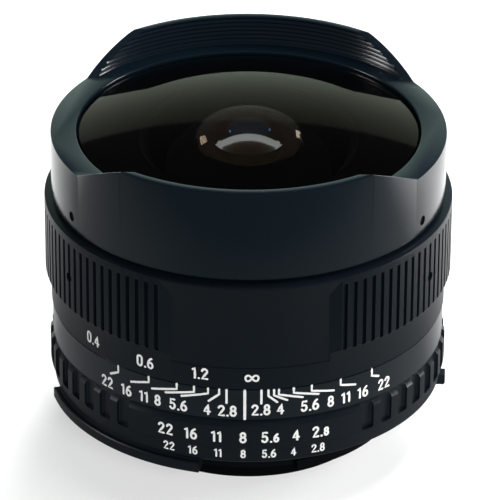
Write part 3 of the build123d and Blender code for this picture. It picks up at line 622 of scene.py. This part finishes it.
# %% Depth scale ring
SCALE_RADIUS = 30.45
SCALE_BORE = 28.93
SCALE_BOTTOM = 9.05
SCALE_TOP = 14.35
scale_outline = [(SCALE_BORE, SCALE_BOTTOM), (SCALE_RADIUS - 0.12, SCALE_BOTTOM),
                 (SCALE_RADIUS, SCALE_BOTTOM + 0.12), (SCALE_RADIUS, SCALE_TOP - 0.12),
                 (SCALE_RADIUS - 0.12, SCALE_TOP), (SCALE_BORE, SCALE_TOP)]
scale_ring = turned("depth_scale_ring_dressed", scale_outline, steps=288)
screw_holes(scale_ring, (110.0, 180.0, 250.0), 0.63, SCALE_RADIUS, 11.7, 2.2)
resmooth(scale_ring, 24)
dress(scale_ring, "fixed", satin_black, "black_anodised", "depth_scale_ring")

# %% Aperture ring
APERTURE_RADIUS = 30.9
APERTURE_BORE = 25.95
APERTURE_BOTTOM = 1.45
APERTURE_TOP = 8.95
FOOT_RADIUS = 30.3
FOOT_TOP = 3.95
RIDGE_RADIUS = 31.2
RIDGE_BORE = RIDGE_RADIUS - 2.6
RIDGE_BOTTOM = -0.5
FINGER_WIDTH = 2.25
FINGER_DEPTH = 0.6
FINGER_BOTTOM = 4.3
FINGER_START = 37.2
FINGERS = 42
aperture_outline = [(APERTURE_BORE, APERTURE_BOTTOM), (FOOT_RADIUS - 0.25, APERTURE_BOTTOM),
                    (FOOT_RADIUS, APERTURE_BOTTOM + 0.25), (FOOT_RADIUS, FOOT_TOP),
                    (FOOT_RADIUS + 0.1, FOOT_TOP + 0.1), (APERTURE_RADIUS - 0.1, FOOT_TOP + 0.2),
                    (APERTURE_RADIUS, FOOT_TOP + 0.3), (APERTURE_RADIUS, APERTURE_TOP - 0.9),
                    (APERTURE_RADIUS - 0.05, APERTURE_TOP - 0.8),
                    (APERTURE_RADIUS - 0.7, APERTURE_TOP - 0.05),
                    (APERTURE_RADIUS - 0.8, APERTURE_TOP), (APERTURE_BORE, APERTURE_TOP)]
aperture_ring = turned("aperture_ring_dressed", aperture_outline, steps=288)


def finger_block():
    """A cutter with round lower corners for the gap between two finger ribs."""
    top = APERTURE_TOP + 1.0
    block = box((FINGER_WIDTH, 2, top - FINGER_BOTTOM),
                (0, -(APERTURE_RADIUS - FINGER_DEPTH + 1), (top + FINGER_BOTTOM) / 2))

    def on_corner(a, b):
        inner = min(a.y, b.y) > -(APERTURE_RADIUS - FINGER_DEPTH / 2) * MM
        low = max(a.z, b.z) < 6 * MM
        if inner:
            return abs(a.z - b.z) > 1 * MM
        return low and abs(a.y - b.y) > 1 * MM

    bpy.ops.object.mode_set(mode="EDIT")
    bpy.ops.mesh.select_mode(type="EDGE")
    unpick()
    pick_edges(block, on_corner)
    bevel_picked(0.3, 4)
    return block


finger_pitch = (360 - 2 * FINGER_START) / (FINGERS - 1)
fingers = [FINGER_START + i * finger_pitch for i in range(FINGERS)]
cut(aperture_ring, spin_copies(finger_block(), fingers))


def coupling_ridge(name, first, last, steps):
    """A ledge under the edge of the ring, from one azimuth to another."""
    foot = APERTURE_BOTTOM - 0.07
    outline = [(RIDGE_BORE, RIDGE_BOTTOM), (RIDGE_RADIUS - 0.25, RIDGE_BOTTOM),
               (RIDGE_RADIUS, RIDGE_BOTTOM + 0.25), (RIDGE_RADIUS, foot - 0.25),
               (RIDGE_RADIUS - 0.12, foot - 0.08), (FOOT_RADIUS + 0.1, foot - 0.1),
               (FOOT_RADIUS - 0.35, foot + 0.2), (RIDGE_BORE, foot + 0.2)]
    return turned(name, outline, steps=steps, turn=last - first, start=first - 90)


ridge = coupling_ridge("ridge", -74.9, -13.0, 54)
tab = coupling_ridge("tab", 84.6, 88.2, 5)
resmooth(aperture_ring, 24)
aperture_ring = join("aperture_ring_dressed", [aperture_ring, ridge, tab])
dress(aperture_ring, "aperture", grip_black, "black_anodised", "aperture_ring")
print("aperture ring faces", len(aperture_ring.data.polygons))

# %% [markdown]
# ## The glass and the cells behind it
# Each glass is spun from its two curves, with many steps, because a lens shows every flat. Its ground
# rims are inked black, as an optician does, so that no bright ring shows through the glass. One table
# holds the glasses and another the cells: one line per piece, with its finish and its outline.

# %% Curves of the glasses
GLASS_RIM = 0.65


def sag(curve, radius):
    """Depth of a spherical face at a radius."""
    bulge = abs(curve) - sqrt(curve ** 2 - radius ** 2)
    return bulge if curve > 0 else -bulge


def face_points(crown, curve, radius, count=18):
    """Points along a spherical face from the axis outwards."""
    return [(radius * i / count, crown - sag(curve, radius * i / count)) for i in range(count + 1)]


def glass_outline(front, back, edge, front_curve, back_curve):
    """A glass between two seat heights, as in the CAD model."""
    clear = edge - GLASS_RIM
    top = face_points(front + sag(front_curve, clear), front_curve, clear)
    low = face_points(back + sag(back_curve, clear), back_curve, clear)
    return top + [(edge, front), (edge, back)] + low[::-1]


FRONT_CROWN = 47.2
HOLLOW_CROWN = 44.9
FRONT_SEAT = 35.524
RING_SEAT = 40.67
WEB_BOTTOM = 33.474
SECOND_SEAT = 31.474
SECOND_SHELF = 32.674
SECOND_CROWN = 42.593
CORE_TOP = 33.674
front_points = (face_points(FRONT_CROWN, 76.0, 26.0, 30)
                + [(26.0, RING_SEAT), (26.7, RING_SEAT), (26.7, FRONT_SEAT)]
                + face_points(HOLLOW_CROWN, 17.5, 15.5, 30)[::-1])
second_points = (face_points(SECOND_CROWN, 6.9, 6.75, 40)
                 + [(6.75, SECOND_SHELF), (8.9, SECOND_SHELF), (8.9, SECOND_SEAT)]
                 + face_points(SECOND_SEAT + sag(6.0, 5.9), 6.0, 5.9, 40)[::-1])
CORE_BOTTOM = 23.274
COVER_BOTTOM = 17.809
BARREL_TOP = 41.82
THIRD_BACK = 24.074
FOURTH_FRONT = 16.709
FIFTH_FRONT = 12.309
SIXTH_FRONT = 7.509
REAR_FRONT = 2.309
REAR_BACK = 0.009
FILTER_SEAT = -2.741
CELL_BOTTOM = -5.241

# %% Table of glasses
GLASSES = [
    ("front_glass_dressed", front_points, front_coating, ("front_glass",)),
    ("second_glass_dressed", second_points, inner_coating, ("second_glass",)),
    ("third_group_front", glass_outline(29.674, 26.874, 8.0, 24.0, -16.0), amber_coating, ("third_group",)),
    ("third_group_rear", glass_outline(26.864, THIRD_BACK, 8.0, -16.0, -60.0), amber_coating, ()),
    ("fourth_group_front", glass_outline(FOURTH_FRONT, 14.509, 7.2, 18.0, -14.0),
     amber_coating, ("fourth_group",)),
    ("fourth_group_rear", glass_outline(14.499, FIFTH_FRONT, 7.2, -14.0, -30.0), amber_coating, ()),
    ("fifth_group_front", glass_outline(FIFTH_FRONT, 9.909, 7.8, -22.0, -16.0),
     amber_coating, ("fifth_group",)),
    ("fifth_group_rear", glass_outline(9.899, SIXTH_FRONT, 7.8, -16.0, -40.0), amber_coating, ()),
    ("sixth_group_front", glass_outline(SIXTH_FRONT, 4.909, 8.8, -40.0, -22.0),
     amber_coating, ("sixth_group",)),
    ("sixth_group_rear", glass_outline(4.899, REAR_FRONT, 8.8, -22.0, -32.0), amber_coating, ()),
    ("rear_glass_dressed", glass_outline(REAR_FRONT, REAR_BACK, 9.4, -30.0, -24.0),
     inner_coating, ("rear_glass",)),
]


def ink_rims(piece, ink):
    """Blacken the ground rims of a glass: its flat seats and its straight walls."""
    piece.data.materials.append(ink)
    vertices = piece.data.vertices
    for face in piece.data.polygons:
        heights = [vertices[v].co.z for v in face.vertices]
        radii = [vertices[v].co.xy.length for v in face.vertices]
        if min(max(heights) - min(heights), max(radii) - min(radii)) < 0.001 * MM:
            face.material_index = 1


for name, points, finish, nodes in GLASSES:
    closed = points[0][0] != 0 or points[-1][0] != 0
    piece = turned(name, points, steps=144, closed=closed, smooth=20)
    dress(piece, "optics", finish, "lens_glass", *nodes)
    ink_rims(piece, inner_black)
print("glasses", len(GLASSES))

# %% Table of cells and sleeves
CELLS = [
    ("front_ring_dressed", "optics", inner_black, "inner_black", ("front_ring",),
     [(26.03, RING_SEAT), (27.85, RING_SEAT), (27.85, BARREL_TOP), (26.3, BARREL_TOP), (26.03, 41.6)]),
    ("moving_barrel_dressed", "optics", inner_black, "inner_black", ("moving_barrel",),
     [(23.2, 10.4), (24.9, 10.4), (24.9, 21.4), (26.55, 21.4), (26.55, 33.3), (29.17, 33.3),
      (29.17, BARREL_TOP), (27.88, BARREL_TOP), (27.88, RING_SEAT), (26.73, RING_SEAT),
      (26.73, FRONT_SEAT), (10.13, FRONT_SEAT), (10.13, WEB_BOTTOM), (23.2, WEB_BOTTOM)]),
    ("lens_core_dressed", "optics", inner_black, "inner_black", ("lens_core",),
     [(7.4, CORE_BOTTOM), (10.1, CORE_BOTTOM), (10.1, SECOND_SEAT), (20.0, SECOND_SEAT),
      (20.0, WEB_BOTTOM), (10.1, WEB_BOTTOM), (10.1, CORE_TOP), (9.33, CORE_TOP), (9.33, SECOND_SHELF),
      (8.93, SECOND_SHELF), (8.93, SECOND_SEAT), (8.03, SECOND_SEAT), (8.03, THIRD_BACK),
      (7.4, THIRD_BACK)]),
    ("second_ring_dressed", "optics", inner_black, "inner_black", ("second_ring",),
     [(6.78, SECOND_SHELF), (9.3, SECOND_SHELF), (9.3, CORE_TOP), (7.0, CORE_TOP), (6.78, 33.45)]),
    ("rear_cell_dressed", "optics", inner_black, "inner_black", ("rear_cell",),
     [(6.6, COVER_BOTTOM), (6.6, FOURTH_FRONT), (7.23, FOURTH_FRONT), (7.23, FIFTH_FRONT),
      (7.83, FIFTH_FRONT), (7.83, SIXTH_FRONT), (8.83, SIXTH_FRONT), (8.83, REAR_FRONT),
      (9.43, REAR_FRONT), (9.43, FILTER_SEAT), (11.11, FILTER_SEAT), (11.11, -5.1),
      (11.2, CELL_BOTTOM), (12.3, CELL_BOTTOM), (12.41, -5.1), (12.41, REAR_BACK),
      (10.4, REAR_FRONT), (10.4, 16.609), (16.0, 16.609), (16.0, COVER_BOTTOM)]),
    ("filter_ring_dressed", "optics", inner_black, "inner_black", ("filter_ring",),
     [(10.15, -5.2), (10.25, CELL_BOTTOM), (11.0, CELL_BOTTOM), (11.08, -5.15), (11.08, FILTER_SEAT),
      (10.63, FILTER_SEAT), (10.63, -4.241), (10.15, -4.241)]),
    ("rear_shield_dressed", "fixed", inner_black, "inner_black", ("rear_shield",),
     [(19.37, -7.1), (19.47, -7.2), (20.22, -7.2), (20.47, -6.95), (20.47, 1.3), (19.37, 1.3)]),
]
for name, body, finish, slot, nodes, points in CELLS:
    dress(turned(name, points), body, finish, slot, *nodes)
print("cells", len(CELLS))

# %% [markdown]
# ## Nodes that keep their CAD shape
# The other CAD nodes already have the right shape, so they only get a finish.

# %% Finishes of the CAD nodes
KEPT = {
    mount_black: ("bayonet_mount",),
    steel: ("mount_screws", "retainer_screws", "click_ball", "click_spring", "drive_fork"),
    dark_steel: ("scale_screws", "grip_screws", "hood_screws", "cam_ring",
                 *(f"iris_blade_{i}" for i in range(1, 7))),
    brass: ("guide_keys", "focus_retainer", "focus_helicoid"),
    inner_black: ("fixed_barrel", "third_ring", "iris_housing", "iris_cover", "rear_ring"),
    inner_coating: ("filter_glass",),
}
for finish, nodes in KEPT.items():
    for node in nodes:
        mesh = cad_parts[node].data
        mesh.materials.clear()
        mesh.materials.append(finish)

# %% [markdown]
# ## Scales
# The figures are cut with a round cutter that follows one line, so every stroke has the same width
# and round ends. Each figure is a few short lines, and "o" stands for the infinity mark. A line becomes
# a curve with a flat oval profile, the curve becomes a mesh, and the mesh is bent round its ring.


# %% Figures as lines
def arc(cx, cy, rx, ry, first, last, count=14):
    """Points on an oval arc."""
    return [(cx + rx * cos(radians(first + (last - first) * i / count)),
             cy + ry * sin(radians(first + (last - first) * i / count))) for i in range(count + 1)]


WIDE = 0.46
FIGURES = {
    "0": [arc(WIDE / 2, 0.77, WIDE / 2, 0.23, 0, 180) + arc(WIDE / 2, 0.23, WIDE / 2, 0.23, 180, 360)
          + [(WIDE, 0.77)]],
    "1": [[(0.0, 0.86), (0.19, 1.0), (0.19, 0.0)]],
    "2": [arc(0.23, 0.76, 0.23, 0.24, 170, -28) + [(0.0, 0.0), (0.48, 0.0)]],
    "4": [[(0.34, 0.0), (0.34, 1.0), (-0.04, 0.27), (0.48, 0.27)]],
    "5": [[(0.42, 1.0), (0.07, 1.0), (0.03, 0.55)] + arc(0.22, 0.31, 0.24, 0.31, 128, -150)],
    "6": [arc(0.24, 0.29, 0.24, 0.29, 0, 360),
          [(0.0, 0.29), (0.02, 0.5), (0.09, 0.72), (0.2, 0.88), (0.36, 1.0)]],
    "8": [arc(0.23, 0.76, 0.2, 0.24, -90, 270), arc(0.23, 0.26, 0.235, 0.26, 90, 450)],
    ".": [[(-0.01, 0.0), (0.01, 0.0)]],
    "o": [[(0.62 + 0.62 * cos(t) / (1 + sin(t) ** 2), 0.3 + 0.86 * sin(t) * cos(t) / (1 + sin(t) ** 2))
           for t in (2 * pi * i / 40 for i in range(41))]],
}
WIDTHS = {"1": 0.2, ".": 0.0, "o": 1.24}
GAP = 0.36
STROKE = 0.36
POINT_KERN = 0.06
SMALL_TAIL = 0.76


def label_lines(text, height, small_tail=False):
    """Lines of a label, centred on its place, as lists of (x, y) in millimetres."""
    lines = []
    reach = 0.0
    scale = height
    for letter in text:
        for line in FIGURES[letter]:
            lines.append([(reach + x * scale, y * scale) for x, y in line])
        reach += (WIDTHS.get(letter, WIDE) + GAP) * scale
        if letter == ".":
            reach -= POINT_KERN * scale
            if small_tail:
                scale = height * SMALL_TAIL
    width = reach - GAP * scale
    return [[(x - width / 2, y - height / 2) for x, y in line] for line in lines]


# %% Laying lines on a ring
PAINT_LIFT = 0.012
PAINT_FLATNESS = 0.06
LONGEST_STEP = 0.5


def thicken(points, width):
    """Split a line finely at its ends, with a radius that rounds them off."""
    if dist(points[0], points[-1]) < 1e-6:
        return [(x, y, 1.0) for x, y in points[:-1]], True
    ends = []
    for tip, nxt in ((points[0], points[1]), (points[-1], points[-2])):
        length = dist(tip, nxt)
        cap = []
        for turn in (90, 68, 45, 22, 0):
            back = width / 2 * sin(radians(turn)) / length
            cap.append((tip[0] - (nxt[0] - tip[0]) * back, tip[1] - (nxt[1] - tip[1]) * back,
                        max(cos(radians(turn)), 0.02)))
        ends.append(cap)
    middle = [(x, y, 1.0) for x, y in points[1:-1]]
    return ends[0] + middle + ends[1][::-1], False


def follow(points):
    """Add points to long stretches, so that a line laid on a ring bends with it."""
    path = [points[0]]
    for here, after in zip(points, points[1:]):
        parts = max(1, int(dist(here[:2], after[:2]) / LONGEST_STEP))
        path += [tuple(a + (b - a) * i / parts for a, b in zip(here, after)) for i in range(1, parts + 1)]
    return path


def flat_profile(width):
    """The oval profile of a painted line, almost flat."""
    deselect()
    bpy.ops.curve.primitive_bezier_circle_add(radius=0.5)
    profile = bpy.context.object
    profile.scale = (width, width * PAINT_FLATNESS, 1.0)
    settle()
    profile.data.resolution_u = 3
    return profile


def lay_lines(name, radius, items, body):
    """Bend lines round a ring. Items are (azimuth, height, width, lines), with lines in millimetres."""
    shapes = []
    for index, (azimuth, height, width, lines) in enumerate(items):
        curve = bpy.data.curves.new(f"{name}_{index}", "CURVE")
        curve.dimensions = "3D"
        curve.twist_mode = "Z_UP"
        curve.bevel_mode = "OBJECT"
        profile = flat_profile(width)
        curve.bevel_object = profile
        curve.use_fill_caps = True
        for line in lines:
            points, ring = thicken(line, width)
            points = follow(points)
            spline = curve.splines.new("POLY")
            spline.points.add(len(points) - 1)
            for point, (x, y, swell) in zip(spline.points, points):
                point.co = (x, y, 0, 1)
                point.radius = swell
            spline.use_cyclic_u = ring
        shape = bpy.data.objects.new(curve.name, curve)
        bpy.context.collection.objects.link(shape)
        choose(shape)
        bpy.ops.object.convert(target="MESH")
        shape = bpy.context.object
        bpy.data.objects.remove(profile, do_unlink=True)
        for vertex in shape.data.vertices:
            around = azimuth + degrees(vertex.co.x / radius)
            out = radius + PAINT_LIFT + vertex.co.z
            vertex.co = place_at(around, out, height + vertex.co.y)
        shapes.append(shape)
    piece = join(name, shapes) if len(shapes) > 1 else shapes[0]
    piece.name = name
    resmooth(piece, 40)
    return dress(piece, body, white_paint, "black_anodised")


def labels(table, height, z, stroke, small_tail=False):
    """Items for a row of labels. Z is a height, or a function of the azimuth."""
    return [(azimuth, z(azimuth) if callable(z) else z, stroke, label_lines(text, height, small_tail))
            for text, azimuth in table]


# %% Distance scale
lay_lines("distance_figures", SKIRT_RADIUS,
          labels([("0.4", -49.6), ("0.6", -29.7), ("1.2", -12.8)], 1.66, 16.8, STROKE)
          + [(2.0, 16.8, 0.33, label_lines("o", 1.58))], "focus")

# %% Depth-of-field scale
DEPTH_FIGURES = [("22", -43.9), ("16", -36.5), ("11", -30.4), ("8", -25.8), ("5.6", -19.4), ("4", -10.8),
                 ("2.8", -5.0), ("2.8", 4.6), ("4", 10.2), ("5.6", 18.8), ("8", 25.2), ("11", 30.05),
                 ("16", 35.85), ("22", 43.75)]
SEAM = 14.25


def depth_height(azimuth):
    """The right side of the printed row stands a little higher than the left."""
    return 10.6 if azimuth < 0 else 10.85


# Each leader starts at the seam (azimuth), drops, and slants out to its figure (azimuth, height).
LEADERS = [(-39.4, 1.1, -42.4, 12.3), (-28.65, 0.9, -34.7, 12.4), (-19.8, 0.9, -27.6, 12.4),
           (-14.6, 0.9, -23.2, 12.35), (-10.5, 0.85, -18.3, 12.3), (-7.3, 0.8, -10.3, 12.1),
           (4.7, 2.4, 4.7, 12.0), (-5.2, 2.4, -5.2, 12.0), (6.7, 1.0, 9.2, 12.1), (8.3, 0.95, 12.1, 12.3),
           (9.7, 0.85, 16.6, 12.5), (14.0, 0.8, 21.4, 12.6), (19.3, 0.9, 26.1, 12.65),
           (28.3, 0.95, 33.2, 12.65), (39.0, 1.1, 41.6, 12.6)]


def leader_items():
    """The leaders as lines, each placed at its own start."""
    items = []
    for start, drop, stop, low in LEADERS:
        line = [(0, SEAM), (0, low)]
        if start != stop:
            line = [(0, SEAM), (0, SEAM - drop), (radians(stop - start) * SCALE_RADIUS, low)]
        items.append((start, 0.0, STROKE, [line]))
    return items


depth_items = labels(DEPTH_FIGURES, 1.62, depth_height, STROKE)
depth_items += leader_items()
depth_items.append((0.0, 0.0, 0.44, [[(0, 14.2), (0, 9.3)]]))
lay_lines("depth_figures", SCALE_RADIUS, depth_items, "fixed")

# %% Aperture scales
STOPS = ("22", "16", "11", "8", "5.6", "4", "2.8")
LARGE_STOPS = zip(STOPS, (-23.0, -15.4, -8.0, -0.45, 7.2, 14.6, 21.9))
SMALL_STOPS = zip(STOPS, (-22.4, -15.1, -7.7, -0.4, 7.0, 14.2, 21.6))
lay_lines("aperture_figures", APERTURE_RADIUS, labels(LARGE_STOPS, 1.64, 6.25, STROKE, small_tail=True),
          "aperture")
lay_lines("finder_figures", FOOT_RADIUS, labels(SMALL_STOPS, 1.22, 3.0, 0.27), "aperture")
print("scales done")

# %% [markdown]
# ## Floor, sky and lamps
# The camera sees a white table and a white world. Gloss and glass see something else, as they do in a
# studio. A dark card lies on the table in front of the lens and under it, and fades to white behind, so
# the near side of each ring mirrors black and the far sides mirror white. The world behind the lens is
# a pale green backdrop with a bent upper edge and a dark room above it, which gives the dome its
# bright band with a dark edge. Light that goes through glass ends in an even grey haze.

# %% Floor
FLOOR = -7.2
FLOOR_GLOW = 0.5
WHITE = (1.0, 1.0, 1.0)
CARD_BLACK = (0.036, 0.046, 0.05)
# The card's paleness per metre towards the back and to the right: steep behind the lens, gentle in front.
CARD_FADE = 12.0
CARD_LEAN = 1.5
CARD_SHEEN = 1.2
CARD_LEVEL = 0.14


def add_floor():
    """A wide white floor. A dark card in front of the lens keeps its black rings black in gloss."""
    deselect()
    bpy.ops.mesh.primitive_plane_add(size=6.0, location=(0, 0, FLOOR * MM))
    floor = bpy.context.object
    floor.name = "table_top"
    finish = Finish("table_white")
    links = finish.tree.links
    across, along, _ = finish.axes()
    rays = {kind: finish.node("ShaderNodeLightPath", out=f"Is {kind} Ray")
            for kind in ("Camera", "Glossy", "Transmission")}
    card = finish.node("ShaderNodeMath", {"operation": "MAXIMUM"},
                       {0: along * CARD_FADE + across * CARD_LEAN, 1: along * CARD_SHEEN + CARD_LEVEL})
    card = finish.node("ShaderNodeClamp", inputs={0: card})
    bare = finish.node("ShaderNodeClamp", inputs={0: card + rays["Camera"]})
    paper = finish.blend(finish.noise(400.0, 2.0), (0.80, 0.80, 0.80), (0.84, 0.84, 0.84))
    finish.shade(Base_Color=finish.blend(bare, CARD_BLACK, paper), Roughness=0.7)
    glow = finish.node("ShaderNodeEmission", inputs={0: finish.blend(bare, CARD_BLACK, WHITE)})
    seen = finish.node("ShaderNodeClamp", inputs={0: rays["Camera"] + rays["Glossy"] + rays["Transmission"]})
    mix = finish.node("ShaderNodeMixShader", inputs={0: seen * FLOOR_GLOW, 2: glow})
    links.new(finish.shader.outputs[0], mix.socket.node.inputs[1])
    links.new(mix.socket, finish.output.inputs[0])
    floor.data.materials.append(finish.material)
    return floor


floor = add_floor()

# %% Sky
BACKDROP_SLOPE = 0.72
BACKDROP_BEND = 1.07
BACKDROP_EDGE = 30.0
BACKDROP_RISE = 1.9
BACKDROP_LOW = (0.60, 0.80, 0.70)
BACKDROP_HIGH = (0.17, 0.22, 0.20)
ROOM = (0.05, 0.055, 0.065)
HAZE = (0.2, 0.205, 0.2)


def add_sky():
    """World light: white for the camera, haze through glass, and for the rest a backdrop and a room."""
    world = bpy.data.worlds.new("studio")
    bpy.context.scene.world = world
    world.use_nodes = True
    tree = world.node_tree
    nodes, links = tree.nodes, tree.links
    background = nodes["Background"]
    where = nodes.new("ShaderNodeTexCoord")
    split = nodes.new("ShaderNodeSeparateXYZ")
    links.new(where.outputs["Generated"], split.inputs[0])

    def maths(operation, first, second):
        made = nodes.new("ShaderNodeMath")
        made.operation = operation
        for socket, value in zip(made.inputs, (first, second)):
            if isinstance(value, float):
                socket.default_value = value
            else:
                links.new(value, socket)
        return made.outputs[0]

    def blend(factor, low, high):
        made = nodes.new("ShaderNodeMix")
        made.data_type = "RGBA"
        for socket, value in zip((made.inputs[0], made.inputs[6], made.inputs[7]), (factor, low, high)):
            if isinstance(value, tuple):
                socket.default_value = (*value, 1.0)
            else:
                links.new(value, socket)
        return made.outputs[2]

    x, y, z = split.outputs
    edge = maths("MULTIPLY", y, BACKDROP_SLOPE)
    edge = maths("SUBTRACT", edge, maths("MULTIPLY", maths("MULTIPLY", x, x), BACKDROP_BEND))
    edge = maths("MULTIPLY", maths("SUBTRACT", edge, z), BACKDROP_EDGE)
    below = nodes.new("ShaderNodeClamp")
    links.new(edge, below.inputs[0])
    backdrop = nodes.new("ShaderNodeValToRGB")
    links.new(maths("MULTIPLY", z, BACKDROP_RISE), backdrop.inputs[0])
    for element, colour in zip(backdrop.color_ramp.elements, (BACKDROP_LOW, BACKDROP_HIGH)):
        element.color = (*colour, 1.0)
    path = nodes.new("ShaderNodeLightPath")
    seen = blend(below.outputs[0], ROOM, backdrop.outputs[0])
    seen = blend(path.outputs["Is Transmission Ray"], seen, HAZE)
    seen = blend(path.outputs["Is Camera Ray"], seen, WHITE)
    links.new(seen, background.inputs[0])
    background.inputs[1].default_value = 1.0


add_sky()

# %% Lamps
# Name, place, size, power in watts, the point that it is aimed at, and whether gloss and glass mirror it.
LAMPS = [
    ("overhead", (0.15, 0.2, 1.1), 0.5, 12.0, (0, 0, 0), False),
    ("right_softbox", (1.0, 0.15, 0.5), 0.5, 14.0, (0.15, 0.2, 0), False),
    ("back_softbox", (0.3, 0.9, 0.6), 0.5, 20.0, (0.15, 0.3, 0), False),
    ("front_key", (0.2, -1.0, 0.5), 0.45, 13.0, (0, 0, 0.02), False),
    ("left_window", (-0.95, -0.09, 0.38), 0.24, 1.2, (0, 0, 0.04), True),
    ("right_window", (0.98, 0.17, 0.22), 0.24, 2.6, (0, 0, 0.04), True),
]


def add_lamp(name, place, size, power, target, mirrored):
    """A square lamp aimed at a point."""
    deselect()
    bpy.ops.object.light_add(type="AREA", location=place)
    lamp = bpy.context.object
    lamp.name = name
    lamp.data.size = size
    lamp.data.energy = power
    lamp.visible_glossy = lamp.visible_transmission = mirrored
    lamp.rotation_euler = (Vector(target) - Vector(place)).to_track_quat("-Z", "Y").to_euler()
    return lamp


for lamp in LAMPS:
    add_lamp(*lamp)
bpy.context.scene.view_settings.view_transform = "Standard"
